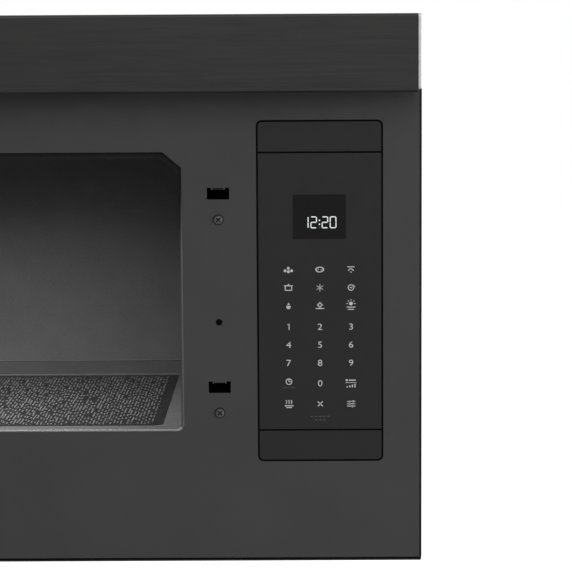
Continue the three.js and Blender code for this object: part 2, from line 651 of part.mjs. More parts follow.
function frontStrip() {
  const half = HALF - STRIP_END_INSET;
  const y = [FACE - STRIP_PROUD, FACE - CLEARANCE];
  const z = [stripLow, BODY_HEIGHT];
  const channel = path([
    [y[0] + STRIP_CORNER, z[0]],
    [y[1], z[0]],
    [y[1], z[0] + SHEET],
    [y[0] + STRIP_CORNER, z[0] + SHEET],
    [y[0] + SHEET, z[0] + STRIP_CORNER],
    [y[0] + SHEET, z[1] - STRIP_CORNER],
    [y[0] + STRIP_CORNER, z[1] - SHEET],
    [y[0] + STRIP_TOP_FLANGE, z[1] - SHEET],
    [y[0] + STRIP_TOP_FLANGE, z[1]],
    [y[0] + STRIP_CORNER, z[1]],
    [y[0], z[1] - STRIP_CORNER],
    [y[0], z[0] + STRIP_CORNER],
  ]);
  piece(cabinet, 'front_strip', prism(channel, 'x', [-half, half]), BLACK_STEEL);
  const capX = [half + CLEARANCE, half + CLEARANCE + END_CAP];
  const cap = rounded(y, z, STRIP_CORNER);
  piece(cabinet, 'strip_cap_right', prism(cap, 'x', capX), BARE_STEEL);
  piece(cabinet, 'strip_cap_left', prism(cap, 'x', [-capX[1], -capX[0]]), BARE_STEEL);

  const grilleY = [y[0] + STRIP_TOP_FLANGE + CLEARANCE, y[1]];
  const grilleZ = [BODY_HEIGHT - GRILLE_THICKNESS, BODY_HEIGHT];
  let grille = block([-half, half], grilleY, grilleZ);
  const pitch = (2 * half - GRILLE_BRIDGE) / GRILLE_SLOTS;
  for (let slot = 0; slot < GRILLE_SLOTS; slot += 1) {
    const from = -half + GRILLE_BRIDGE + slot * pitch;
    const slotX = [from, from + pitch - GRILLE_BRIDGE];
    grille = grille.subtract(block(slotX, inset(grilleY, GRILLE_BRIDGE), grown(grilleZ, CUT_OVER)));
  }
  piece(cabinet, 'top_grille', grille, BLACK_PLASTIC);

}

// The charcoal filter stands behind the frame's vent windows, in a frame with upright ribs.
function charcoalFilter() {
  const half = (VENT_WINDOWS * (VENT_WINDOW_WIDTH + VENT_WINDOW_BRIDGE)) / 2;
  const low = stripLow + (STRIP_HEIGHT - VENT_WINDOW_HEIGHT) / 2;
  const z = [low - CLEARANCE, innerTop - SHEET - CLEARANCE];
  const deep = [innerFront, innerFront + CHARCOAL_THICKNESS];
  let filter = block([-half, half], deep, z);
  const pitch = (2 * half) / CHARCOAL_GROOVES;
  for (let groove = 0; groove < CHARCOAL_GROOVES; groove += 1) {
    const x = around(-half + (groove + 0.5) * pitch, pitch - CHARCOAL_RIB);
    const pocket = block(x, [deep[1] - CHARCOAL_POCKET, deep[1] + CUT_OVER], inset(z, CHARCOAL_RIB));
    filter = filter.subtract(pocket);
  }
  piece(cabinet, 'charcoal_filter', filter, CHARCOAL);
}

frontStrip();
charcoalFilter();

// ---------------------------------------------------------------- oven cavity

function cavityLiner() {
  const deep = [linerFront, cavityBack];
  const outer = prism(cavityOutline(linerX, linerZ, LINER_WALL), 'y', [deep[0], deep[1] + LINER_WALL]);
  const flange = prism(
    cavityOutline(linerX, linerZ, LINER_WALL + LINER_FLANGE),
    'y',
    [deep[0], deep[0] + LINER_WALL],
  );
  const hollow = prism(cavityOutline(linerX, linerZ, 0), 'y', [deep[0] - CUT_OVER, deep[1]]);
  const step = block(
    inset(linerX, -LINER_WALL / 2),
    [deep[1] - STEP_DEPTH, deep[1] + LINER_WALL / 2],
    [linerZ[0] - LINER_WALL / 2, linerZ[0] + STEP_HEIGHT],
  );
  const seatX = grown(plateX, SEAL_WIDTH);
  const seatY = grown(plateY, SEAL_WIDTH);
  const seatZ = linerZ[0] - PLATE_THICKNESS - CLEARANCE;
  const seat = rounded(seatX, seatY, PLATE_CORNER + SEAL_WIDTH);
  const seatShell = rounded(grown(seatX, LINER_WALL), grown(seatY, LINER_WALL), PLATE_CORNER + LINER_WALL);
  const tub = join(
    prism(seatShell, 'z', [seatZ - LINER_WALL, linerZ[0]]),
    block(grown(wellX, LINER_WALL), grown(wellY, LINER_WALL), [wellLow - LINER_WALL, seatZ]),
  );
  const sunk = join(
    prism(seat, 'z', [seatZ, linerZ[0] + CUT_OVER]),
    block(wellX, wellY, [wellLow, seatZ + CUT_OVER]),
  );
  const couplingZ = grown([wellLow - LINER_WALL, wellLow], CUT_OVER);
  const coupling = rod(COUPLING_RADIUS, 'z', couplingZ, [stirrerX, stirrerY]);
  const shell = join(cut(join(outer, flange), hollow), step);
  piece(cabinet, 'cavity_liner', cut(join(shell, tub), sunk, coupling), ENAMEL);
}

function cavityFloor() {
  const top = linerZ[0];
  const plateZ = [top - PLATE_THICKNESS, top];
  piece(cabinet, 'floor_plate', prism(rounded(plateX, plateY, PLATE_CORNER), 'z', plateZ), CERAMIC);
}

// A rectangular duct that carries the microwaves from the magnetron to the stirrer well.
function waveguide() {
  const x = [stirrerX - WAVEGUIDE_LEFT, magnetronX + MAGNETRON_WIDTH / 2];
  const y = around(stirrerY, WAVEGUIDE_WIDTH);
  const z = [deckTop + CLEARANCE, wellLow - LINER_WALL - CLEARANCE];
  const duct = cut(block(x, y, z), block(inset(x, SHEET), inset(y, SHEET), inset(z, SHEET)));
  const roof = [z[1] - SHEET - CUT_OVER, z[1] + CUT_OVER];
  const base = [z[0] - CUT_OVER, z[0] + SHEET + CUT_OVER];
  const guide = cut(
    duct,
    rod(COUPLING_RADIUS, 'z', roof, [stirrerX, stirrerY]),
    rod(SHAFT_RADIUS + RUNNING, 'z', base, [stirrerX, stirrerY]),
    rod(ANTENNA_RADIUS * 2, 'z', roof, [magnetronX, stirrerY]),
  );
  piece(cabinet, 'waveguide', guide, GALVANISED);
}

// A slow motor under the deck turns a metal stirrer in the well, below the ceramic plate.
function stirrer() {
  const centre = [stirrerX, stirrerY];
  const canTop = DECK_HEIGHT - CLEARANCE;
  const can = rod(STIRRER_CAN_RADIUS, 'z', [canTop - STIRRER_CAN, canTop], centre);
  const bore = rod(SHAFT_RADIUS + RUNNING, 'z', [canTop - STIRRER_BORE, canTop + CUT_OVER], centre);
  piece(cabinet, 'stirrer_motor', cut(can, bore), GALVANISED);
  const bladeZ = [wellLow + WELL_DEPTH / 2, wellLow + WELL_DEPTH / 2 + SHEET];
  const shaft = rod(SHAFT_RADIUS, 'z', [canTop - STIRRER_BORE + RUNNING, bladeZ[1] + SHEET], centre);
  const hub = rod(STIRRER_HUB, 'z', [bladeZ[0] - SHEET * 2, bladeZ[1] + SHEET], centre);
  let blade = join(shaft, hub);
  for (let arm = 0; arm < STIRRER_ARMS; arm += 1) {
    const vane = path([
      [0, -STIRRER_HUB / 2],
      [STIRRER_RADIUS, -STIRRER_HUB],
      [STIRRER_RADIUS, VANE_WIDTH],
      [VANE_FULL, VANE_WIDTH],
      [VANE_START, STIRRER_HUB / 2],
      [0, STIRRER_HUB / 2],
    ]);
    const turned = prism(vane, 'z', bladeZ).rotate([0, 0, (arm * 360) / STIRRER_ARMS]);
    blade = blade.add(turned.translate([stirrerX, stirrerY, 0]));
  }
  piece(cabinet, 'stirrer_blade', blade, ALUMINIUM);
}

cavityLiner();
cavityFloor();
waveguide();
stirrer();

// ---------------------------------------------------------------- control panel

// Three flush plates: a blank one, the touch glass over the display and the keys, and a blank one below.
function panelPlates() {
  const deep = [FACE, behind(PANEL_THICKNESS)];
  const outline = rounded(inset(panelX, PANEL_GAP), inset(panelZ, PANEL_GAP), PANEL_CORNER - PANEL_GAP);
  const slab = prism(outline, 'y', deep);
  const between = (low, high) => slab.intersect(block(panelX, grown(deep, CUT_OVER), [low, high]));
  const lowGap = around(panelZ[0] + PANEL_CAP_LOW, PANEL_GAP);
  const highGap = around(panelZ[1] - PANEL_CAP_HIGH, PANEL_GAP);
  piece(cabinet, 'panel_cap_lower', between(panelZ[0], lowGap[0]), PANEL_BLACK);
  piece(cabinet, 'touch_glass', between(lowGap[1], highGap[0]), PANEL_BLACK);
  piece(cabinet, 'panel_cap_upper', between(highGap[1], panelZ[1]), PANEL_BLACK);
}

// The tray behind the frame carries the three plates, the display and, on four bosses, the board.
function panelBack() {
  const trayX = grown(panelX, TRAY_LIP);
  const trayZ = grown(panelZ, TRAY_LIP);
  const trayY = [innerFront, innerFront + TRAY_DEPTH];
  const pocketBack = behind(PANEL_THICKNESS + CLEARANCE);
  const pocketX = inset(panelX, PANEL_GAP - CLEARANCE);
  const pocketZ = inset(panelZ, PANEL_GAP - CLEARANCE);
  const displayX = around(middle(panelX), DISPLAY_WIDTH);
  const displayLow = panelZ[1] - DISPLAY_DROP;
  const displayZ = [displayLow, displayLow + DISPLAY_HEIGHT];
  const boardY = [trayY[1] + BOARD_STANDOFF, trayY[1] + BOARD_STANDOFF + BOARD_THICKNESS];
  let tray = cut(
    prism(rounded(trayX, trayZ, PANEL_CORNER), 'y', trayY),
    block(pocketX, [trayY[0] - CUT_OVER, pocketBack], pocketZ),
    block(grown(displayX, CLEARANCE), grown(trayY, CUT_OVER), grown(displayZ, CLEARANCE)),
  );
  for (const bossX of inset(trayX, TRAY_LIP * 2)) {
    for (const bossZ of inset(trayZ, TRAY_LIP * 3)) {
      const bossY = [trayY[1] - SHEET, boardY[0] - CLEARANCE];
      tray = tray.add(rod(TRAY_LIP / 2, 'y', bossY, [bossX, bossZ], ROUND_SIDES / 2));
    }
  }
  piece(cabinet, 'panel_tray', tray, BLACK_PLASTIC);
  const display = block(displayX, [pocketBack, boardY[0] - CLEARANCE], displayZ);
  piece(cabinet, 'display_module', display, DARK_GLASS);
  controlBoard(inset(trayX, TRAY_LIP), boardY, inset(trayZ, TRAY_LIP * 2));
}

// The board with its row of relays and its transformer.
function controlBoard(x, y, z) {
  const low = z[0] + TRAY_LIP * 2;
  const relayX = [x[0] + TRAY_LIP, x[0] + TRAY_LIP + RELAY_WIDTH];
  const relayY = [y[1] - SHEET / 2, y[1] + RELAY_HEIGHT];
  let board = block(x, y, z);
  for (let relay = 0; relay < BOARD_RELAYS; relay += 1) {
    const relayLow = low + relay * RELAY_PITCH;
    board = board.add(block(relayX, relayY, [relayLow, relayLow + RELAY_WIDTH]));
  }
  const supplyX = [x[1] - TRAY_LIP - SUPPLY_WIDTH, x[1] - TRAY_LIP];
  const supply = block(supplyX, [y[1] - SHEET / 2, y[1] + SUPPLY_HEIGHT], [low, low + SUPPLY_WIDTH]);
  piece(cabinet, 'control_board', join(board, supply), BOARD_GREEN);
}


panelPlates();
panelBack();

// ---------------------------------------------------------------- latch bracket, plungers and switches

function latchBracket() {
  const x = around(latchX, BRACKET_WIDTH);
  const margin = SCREW_DROP + BRACKET_WALL * 2;
  const z = [slotHeights[0] - margin, slotHeights[1] + SLOT_HEIGHT + BRACKET_WALL];
  let bracket = block(x, [innerFront, behind(BRACKET_DEPTH)], z);
  for (const height of slotHeights) {
    const chamberX = around(latchX, SLOT_WIDTH + BRACKET_WALL);
    const chamberZ = around(height, SLOT_HEIGHT + BRACKET_WALL);
    const chamber = block(chamberX, [innerFront - CUT_OVER, chamberBack], chamberZ);
    const wayX = around(latchX, STEM_WIDTH + RUNNING);
    const wayY = [chamberBack - CUT_OVER, behind(BRACKET_DEPTH + CUT_OVER)];
    bracket = cut(bracket, chamber, block(wayX, wayY, around(height, STEM_HEIGHT + RUNNING)));
  }
  for (const height of slotHeights) {
    const holeY = [FACE, behind(SCREW_LENGTH + CUT_OVER)];
    const hole = rod(SCREW_SHANK + CLEARANCE, 'y', holeY, [latchX, height - SCREW_DROP], ROUND_SIDES / 2);
    bracket = bracket.subtract(hole);
  }
  // Hollowed from behind between the two chambers, with two cross ribs.
  const hollowZ = [
    slotHeights[0] + SLOT_HEIGHT + BRACKET_WALL,
    slotHeights[1] - SCREW_DROP - BRACKET_WALL * 2,
  ];
  const rise = (hollowZ[1] - hollowZ[0]) / BRACKET_HOLLOWS;
  for (let hollow = 0; hollow < BRACKET_HOLLOWS; hollow += 1) {
    const low = hollowZ[0] + hollow * rise;
    const pocketY = [innerFront + BRACKET_WALL, behind(BRACKET_DEPTH + CUT_OVER)];
    bracket = bracket.subtract(block(inset(x, BRACKET_WALL), pocketY, [low, low + rise - BRACKET_WALL]));
  }
  // Two cheeks behind each chamber hold its switch.
  for (const height of slotHeights) {
    for (const side of [-1, 1]) {
      const near = SWITCH_WIDTH / 2 + CLEARANCE;
      const cheekX = mirrored(side, [near, near + BRACKET_WALL]).map((x) => latchX + x);
      const cheekY = [chamberBack, switchFront + SWITCH_LENGTH];
      bracket = bracket.add(block(cheekX, cheekY, around(height, SWITCH_HEIGHT / 2)));
    }
  }
  piece(cabinet, 'latch_bracket', bracket, BLACK_PLASTIC);
}

// A sprung plunger behind each slot, which the door's hook pushes, and the switch that it works.
function interlocks() {
  const names = ['lower', 'upper'];
  const switchBack = switchFront + SWITCH_LENGTH;
  slotHeights.forEach((height, index) => {
    const headZ = around(height, PLUNGER_HEIGHT);
    const stemZ = around(height, STEM_HEIGHT);
    const head = block(around(latchX, PLUNGER_WIDTH), [plungerFront, plungerBack], headZ);
    const stem = block(around(latchX, STEM_WIDTH), [plungerBack - SHEET, stemBack], stemZ);
    piece(cabinet, `interlock_plunger_${names[index]}`, join(head, stem), WHITE_PLASTIC);
    const bodyZ = around(height, SWITCH_HEIGHT);
    const body = block(around(latchX, SWITCH_WIDTH), [switchFront, switchBack], bodyZ);
    const tags = [-1, 1].map((side) => {
      const tagZ = around(height + (side * SWITCH_HEIGHT) / 3, BRACKET_WALL);
      return block(around(latchX, SHEET), [switchBack - CUT_OVER, switchBack + TAG_LENGTH], tagZ);
    });
    piece(cabinet, `interlock_switch_${names[index]}`, join(body, ...tags), BLACK_PLASTIC);
  });
}

// One screw under each slot holds the bracket to the frame.
function latchScrews() {
  const names = ['lower', 'upper'];
  slotHeights.forEach((height, index) => {
    const centre = [latchX, height - SCREW_DROP];
    const head = [FACE - SCREW_HEAD_HEIGHT - CLEARANCE / 2, FACE - CLEARANCE / 2];
    const screw = join(
      rod(SCREW_HEAD, 'y', head, centre),
      rod(SCREW_SHANK, 'y', [head[1] - SHEET / 2, head[1] + SCREW_LENGTH], centre, ROUND_SIDES / 2),
    );
    piece(cabinet, `latch_screw_${names[index]}`, screw, GALVANISED);
  });
}

latchBracket();
interlocks();
latchScrews();

// ---------------------------------------------------------------- hood: filters and lamp

// Each grease filter lies on the rim of its opening: a frame with strands across.
function greaseFilters() {
  for (const side of [-1, 1]) {
    const x = grown(filterX(side), FILTER_LIP);
    const y = grown(filterY, FILTER_LIP);
    const z = [PAN_FLOOR + CLEARANCE, PAN_FLOOR + CLEARANCE + FILTER_THICKNESS];
    const inner = [inset(x, FILTER_RIM), inset(y, FILTER_RIM)];
    let filter = cut(block(x, y, z), block(...inner, grown(z, CUT_OVER)));
    const pitchX = (inner[0][1] - inner[0][0]) / FILTER_STRANDS;
    for (let strand = 1; strand < FILTER_STRANDS; strand += 1) {
      const strandX = around(inner[0][0] + strand * pitchX, STRAND_WIDTH);
      filter = filter.add(block(strandX, grown(inner[1], SHEET), [z[0] + SHEET, z[0] + SHEET * 3]));
    }
    piece(cabinet, side < 0 ? 'grease_filter_left' : 'grease_filter_right', filter, ALUMINIUM);
  }
}

// The cooktop lamp: a lens that drops into the window of the pan, under a tray with a light bar.
function hoodLamp() {
  const bodyOutline = rounded(inset(lampX, CLEARANCE), inset(lampY, CLEARANCE), LAMP_LIP);
  const rimX = grown(lampX, LAMP_LIP);
  const rimY = grown(lampY, LAMP_LIP);
  const rimZ = [PAN_FLOOR + CLEARANCE, PAN_FLOOR + CLEARANCE + LENS_THICKNESS];
  const lens = join(
    prism(bodyOutline, 'z', [CLEARANCE, PAN_FLOOR + SHEET]),
    prism(rounded(rimX, rimY, LAMP_LIP), 'z', rimZ),
  );
  piece(cabinet, 'lamp_lens', lens, CLEAR_GLASS);
  const low = rimZ[1] + CLEARANCE;
  const shade = cut(
    block(rimX, rimY, [low, low + LAMP_HEIGHT]),
    block(lampX, lampY, [low - CUT_OVER, low + LAMP_HEIGHT - SHEET]),
  );
  const barZ = [low + LAMP_HEIGHT - SHEET * 3, low + LAMP_HEIGHT - SHEET / 2];
  const bar = block(inset(lampX, LAMP_LIP * 4), around(middle(lampY), LAMP_LIP * 2), barZ);
  piece(cabinet, 'hood_lamp', join(shade, bar), WHITE_PLASTIC);
}

greaseFilters();
hoodLamp();

// ---------------------------------------------------------------- ventilation blower and damper

// A snail-shaped outline that runs under the shaft from front to back and opens upwards, grown by a wall.
function scrollOutline(grow) {
  const top = plenumZ[0] + SCROLL_WALL;
  const points = [[scrollY[1] + grow, top], [scrollY[0] - grow, top]];
  for (let step = 0; step <= SCROLL_STEPS; step += 1) {
    const share = step / SCROLL_STEPS;
    const angle = Math.PI * (1 - share);
    const radius = SCROLL_START + SCROLL_GROWTH * share + grow;
    points.push([-BLOWER_BACK + radius * Math.cos(angle), blowerHeight - radius * Math.sin(angle)]);
  }
  return path(points);
}

// Two scrolls, open into one plenum tray under the damper.
function blowerHousing() {
  const plenumX = [-scrollX[1], scrollX[1]];
  const floorZ = [plenumZ[0], plenumZ[0] + SCROLL_WALL];
  let housing = cut(
    block(plenumX, plenumY, plenumZ),
    block(inset(plenumX, SCROLL_WALL), inset(plenumY, SCROLL_WALL), [floorZ[1], plenumZ[1] + CUT_OVER]),
  );
  for (const side of [-1, 1]) {
    const x = mirrored(side, scrollX);
    const outlet = block(inset(x, SCROLL_WALL), scrollY, grown(floorZ, CUT_OVER));
    const shell = cut(
      prism(scrollOutline(SCROLL_WALL), 'x', x),
      prism(scrollOutline(0), 'x', inset(x, SCROLL_WALL)),
      rod(SCROLL_INLET, 'x', grown(x, CUT_OVER), [-BLOWER_BACK, blowerHeight]),
    );
    housing = cut(join(housing, shell), outlet);
  }
  piece(cabinet, 'blower_housing', housing, BLACK_PLASTIC);
}

// A motor with a shaft at both ends stands between the scrolls.
function blower() {
  const motorX = around(0, MOTOR_LENGTH);
  const axis = [-BLOWER_BACK, blowerHeight];
  const can = rod(MOTOR_RADIUS, 'x', inset(motorX, MOTOR_RADIUS / 4), axis);
  const noses = rod(MOTOR_RADIUS / 2, 'x', motorX, axis);
  const bore = rod(SHAFT_RADIUS + CLEARANCE, 'x', grown(motorX, CUT_OVER), axis);
  const strapZ = [blowerHeight + MOTOR_RADIUS - SHEET * 2, plenumZ[0] - CLEARANCE];
  const strap = block(around(0, MOTOR_RADIUS), around(axis[0], MOTOR_RADIUS / 2), strapZ);
  piece(cabinet, 'blower_motor', cut(join(can, noses, strap), bore), GALVANISED);
  const shaftEnd = wheelInner + WHEEL_WIDTH;
  piece(cabinet, 'blower_shaft', rod(SHAFT_RADIUS, 'x', [-shaftEnd, shaftEnd], axis), BARE_STEEL);
  piece(cabinet, 'blower_wheel_left', blowerWheel(-1), GALVANISED);
  piece(cabinet, 'blower_wheel_right', blowerWheel(1), GALVANISED);
}

// A squirrel-cage wheel: forward-curved blades between a hub disc and an end ring.
function blowerWheel(side) {
  const wheelOuter = wheelInner + WHEEL_WIDTH;
  const inner = WHEEL_RADIUS - BLADE_CHORD;
  const bore = SHAFT_RADIUS + CLEARANCE;
  const ring = (radius, hole, span) => {
    const x = mirrored(side, span);
    return cut(rod(radius, 'x', x, [0, 0]), rod(hole, 'x', grown(x, CUT_OVER), [0, 0]));
  };
  let wheel = join(
    ring(WHEEL_RADIUS, bore, [wheelInner, wheelInner + WHEEL_RING]),
    ring(WHEEL_RADIUS, inner, [wheelOuter - WHEEL_RING, wheelOuter]),
    ring(SHAFT_RADIUS * 2, bore, [wheelInner, wheelInner + WHEEL_WIDTH / 4]),
  );
  const outline = new THREE.Shape();
  const bend = BLADE_BEND;
  outline.moveTo(inner, 0);
  outline.quadraticCurveTo(inner + BLADE_CHORD / 2, -bend / 2, WHEEL_RADIUS - BLADE_THICKNESS / 2, bend / 2);
  outline.lineTo(WHEEL_RADIUS - BLADE_THICKNESS / 2, bend / 2 + BLADE_THICKNESS);
  outline.quadraticCurveTo(inner + BLADE_CHORD / 2, -bend / 2 + BLADE_THICKNESS, inner, BLADE_THICKNESS);
  const blade = prism(outline, 'x', mirrored(side, inset([wheelInner, wheelOuter], WHEEL_RING / 2)));
  for (let index = 0; index < WHEEL_BLADES; index += 1) {
    wheel = wheel.add(blade.rotate([(index * 360) / WHEEL_BLADES, 0, 0]));
  }
  return wheel.translate([0, -BLOWER_BACK, blowerHeight]);
}

// The exhaust damper: a frame in the top of the cabinet and a light flap that the air lifts.
function damper() {
  const z = [BODY_HEIGHT - DAMPER_DEPTH, BODY_HEIGHT];
  const inner = [inset(damperX, DAMPER_WALL), inset(damperY, DAMPER_WALL)];
  const flapZ = z[0] + FLAP_PIN * 2;
  const axis = [damperY[1] - DAMPER_WALL * 2 - FLAP_PIN, flapZ];
  const stop = cut(
    block(damperX, damperY, [z[0], z[0] + SHEET]),
    block(inset(inner[0], DAMPER_WALL), inset(inner[1], DAMPER_WALL), [z[0] - CUT_OVER, z[0] + CUT_OVER]),
  );
  const frame = cut(
    join(cut(block(damperX, damperY, z), block(...inner, grown(z, CUT_OVER))), stop),
    rod(FLAP_PIN + CLEARANCE, 'x', grown(inner[0], DAMPER_WALL / 2), axis, ROUND_SIDES / 2),
  );
  piece(cabinet, 'damper_frame', frame, BLACK_PLASTIC);
  const leafX = inset(inner[0], RUNNING);
  const leaf = block(leafX, [inner[1][0] + RUNNING, axis[0]], around(flapZ, FLAP_THICKNESS));
  const pin = rod(FLAP_PIN, 'x', grown(leafX, RUNNING + DAMPER_WALL / 4), axis, ROUND_SIDES / 2);
  piece(cabinet, 'damper_flap', join(leaf, pin), GALVANISED);
}

// A bush for the supply lead, pushed up from inside so that the top stays flush.
function grommet() {
  const centre = [HALF - GROMMET_FROM_SIDE, -BLOWER_BACK];
  const flangeLow = innerTop - GROMMET_FLANGE;
  const body = join(
    rod(GROMMET_RADIUS, 'z', [flangeLow, innerTop], centre),
    rod(GROMMET_RADIUS - SHEET - CLEARANCE, 'z', [flangeLow, wrapperTop], centre),
  );
  const lead = rod(GROMMET_RADIUS / 2, 'z', [flangeLow - CUT_OVER, wrapperTop + CUT_OVER], centre);
  piece(cabinet, 'cord_grommet', cut(body, lead), BLACK_PLASTIC);
}

blowerHousing();
blower();
damper();
grommet();

// ---------------------------------------------------------------- oven electrics

// An axial fan behind the control panel blows over the electrics; its motor hangs on a bar across the collar.
function coolingFan() {
  const x = [linerX[1] + LINER_WALL + LINER_FLANGE + CLEARANCE, innerHalf];
  const z = [deckTop + CLEARANCE, deckTop + SHROUD_HEIGHT];
  const y = [behind(FAN_BACK), behind(FAN_BACK) + SHEET];
  const fanX = HALF - FAN_FROM_SIDE;
  const centre = [fanX, FAN_HEIGHT];
  const collar = rod(FAN_RADIUS + RUNNING * 3 + SHEET, 'y', [y[0], y[0] + FAN_DEPTH], centre);
  const hole = rod(FAN_RADIUS + RUNNING * 3, 'y', [y[0] - CUT_OVER, y[0] + FAN_DEPTH + CUT_OVER], centre);
  const motorY = [y[0] - FAN_DEPTH, y[0] - RUNNING];
  const armY = [motorY[1] - SHEET * 2, motorY[1]];
  const armZ = around(FAN_HEIGHT, FAN_HUB / 2);
  const arms = block(around(fanX, 2 * (FAN_RADIUS + SHEET * 3)), armY, armZ);
  const tabs = [-1, 1].map((side) => {
    const tabX = around(fanX + side * (FAN_RADIUS + SHEET * 4), SHEET * 6);
    return block(tabX, [armY[0], y[0] + SHEET / 2], armZ);
  });
  const shroud = join(cut(join(block(x, y, z), collar), hole), arms, ...tabs);
  const seat = rod(FAN_HUB + CLEARANCE, 'y', grown(motorY, CUT_OVER), centre);
  piece(cabinet, 'fan_shroud', cut(shroud, seat), GALVANISED);
  const boreY = [motorY[1] - FAN_DEPTH / 2, motorY[1] + CUT_OVER];
  const bore = rod(SHAFT_RADIUS / 2 + CLEARANCE, 'y', boreY, centre);
  piece(cabinet, 'fan_motor', cut(rod(FAN_HUB, 'y', motorY, centre), bore), GALVANISED);
  const rotorY = [y[0] + RUNNING, y[0] + FAN_DEPTH - RUNNING];
  let rotor = join(
    rod(FAN_HUB, 'y', rotorY, centre),
    rod(SHAFT_RADIUS / 2, 'y', [boreY[0] + RUNNING, rotorY[0] + SHEET], centre),
  );
  const core = rod(FAN_HUB - SHEET, 'y', grown(rotorY, CUT_OVER), centre);
  const sweep = cut(rod(FAN_RADIUS, 'y', rotorY, centre), core);
  for (let index = 0; index < FAN_BLADES; index += 1) {
    const vane = block([0, FAN_RADIUS + CUT_OVER], around(0, SHEET), around(0, VANE_CHORD))
      .rotate([FAN_BLADE_TILT, 0, 0])
      .rotate([0, (index * 360) / FAN_BLADES, 0])
      .translate([centre[0], middle(rotorY), centre[1]]);
    rotor = rotor.add(vane.intersect(sweep));
  }
  piece(cabinet, 'fan_rotor', rotor, WHITE_PLASTIC);
}

// The magnetron stands on the waveguide: a yoke round the anode and its cooling fins.
function magnetron() {
  const base = wellLow - LINER_WALL;
  const x = around(magnetronX, MAGNETRON_WIDTH);
  const y = around(stirrerY, MAGNETRON_LENGTH);
  const top = base + MAGNETRON_HEIGHT;
  const centre = [magnetronX, stirrerY];
  let body = join(
    block(x, y, [base, base + SHEET * 2]),
    rod(ANODE_RADIUS, 'z', [base, top - SHEET], centre, ROUND_SIDES / 2),
    rod(ANTENNA_RADIUS, 'z', [base - ANTENNA_LENGTH, base + SHEET], centre),
    block(x, y, [top - FILTER_BOX, top]),
  );
  for (let fin = 0; fin < MAGNETRON_FINS; fin += 1) {
    const low = base + FIN_LOW + (fin * FIN_ZONE) / MAGNETRON_FINS;
    body = body.add(block(inset(x, SHEET * 2), inset(y, SHEET * 2), [low, low + SHEET]));
  }
  for (const side of [-1, 1]) {
    const wallX = side < 0 ? [x[0], x[0] + SHEET] : [x[1] - SHEET, x[1]];
    body = body.add(block(wallX, y, [base, top]));
  }
  piece(cabinet, 'magnetron', body, GALVANISED);
}

// The high voltage transformer and capacitor stand on the deck, behind the magnetron.
function powerParts() {
  const base = deckTop + CLEARANCE;
  const x = around(HALF - TRANSFORMER_FROM_SIDE, TRANSFORMER_WIDTH);
  const y = around(-BLOWER_BACK, TRANSFORMER_LENGTH);
  const z = [base, base + TRANSFORMER_HEIGHT];
  const core = block(x, y, z);
  const windings = block(inset(x, WINDING_INSET), grown(y, WINDING_OVERHANG), inset(z, WINDING_MARGIN));
  piece(cabinet, 'power_transformer', join(core, windings), COPPER);
  const capacitorX = HALF - CAPACITOR_FROM_SIDE;
  const capX = around(capacitorX, CAPACITOR_WIDTH);
  const capY = around(-BLOWER_BACK, CAPACITOR_LENGTH);
  const capTop = base + CAPACITOR_HEIGHT;
  const can = prism(rounded(capX, capY, CAPACITOR_CORNER), 'z', [base, capTop]);
  const posts = [-1, 1].map((side) => {
    const place = [capacitorX, -BLOWER_BACK + (side * CAPACITOR_LENGTH) / 4];
    return rod(SHAFT_RADIUS, 'z', [capTop - SHEET, capTop + TAG_LENGTH], place, ROUND_SIDES / 2);
  });
  piece(cabinet, 'high_voltage_capacitor', join(can, ...posts), ALUMINIUM);
}

// The oven lamp stands on the cavity's right wall.
function ovenLamp() {
  const wall = linerX[1] + LINER_WALL + CLEARANCE;
  const height = linerZ[0] + OVEN_LAMP_RISE;
  const baseY = around(stirrerY, OVEN_LAMP_SIZE);
  const base = block([wall, wall + SHEET * 2], baseY, around(height, OVEN_LAMP_SIZE));
  const socket = rod(OVEN_LAMP_SOCKET, 'x', [wall + SHEET, wall + OVEN_LAMP_LENGTH], [stirrerY, height]);
  piece(cabinet, 'oven_lamp', join(base, socket), WHITE_PLASTIC);
}

coolingFan();
magnetron();
powerParts();
ovenLamp();

// ---------------------------------------------------------------- hinges on the cabinet

// A flat arm above and below the door carries its pin; each has a foot on the frame.
function hinges() {
  for (const end of [-1, 1]) {
    const arm = end < 0
      ? [doorZ[0] + HINGE_END, doorZ[0] + HINGE_END + HINGE_PLATE]
      : [doorZ[1] - HINGE_END - HINGE_PLATE, doorZ[1] - HINGE_END];
    const footZ = end < 0 ? [arm[0], arm[0] + HINGE_FOOT] : [arm[1] - HINGE_FOOT, arm[1]];
    const pinZ = end < 0 ? [arm[0], arm[1] + HINGE_PIN_LENGTH] : [arm[0] - HINGE_PIN_LENGTH, arm[1]];
    const x = around(hingeX, HINGE_ARM * 2);
    const bracket = join(
      block(x, [hingeY, FACE - CLEARANCE / 2], arm),
      rod(HINGE_ARM, 'z', arm, [hingeX, hingeY]),
      block(x, [FACE - CLEARANCE / 2 - HINGE_FOOT_PLATE, FACE - CLEARANCE / 2], footZ),
      rod(HINGE_PIN, 'z', pinZ, [hingeX, hingeY], ROUND_SIDES / 2),
    );
    piece(cabinet, end < 0 ? 'hinge_bracket_lower' : 'hinge_bracket_upper', bracket, GALVANISED);
  }
}
hinges();

// ---------------------------------------------------------------- door, drawn closed and then swung open

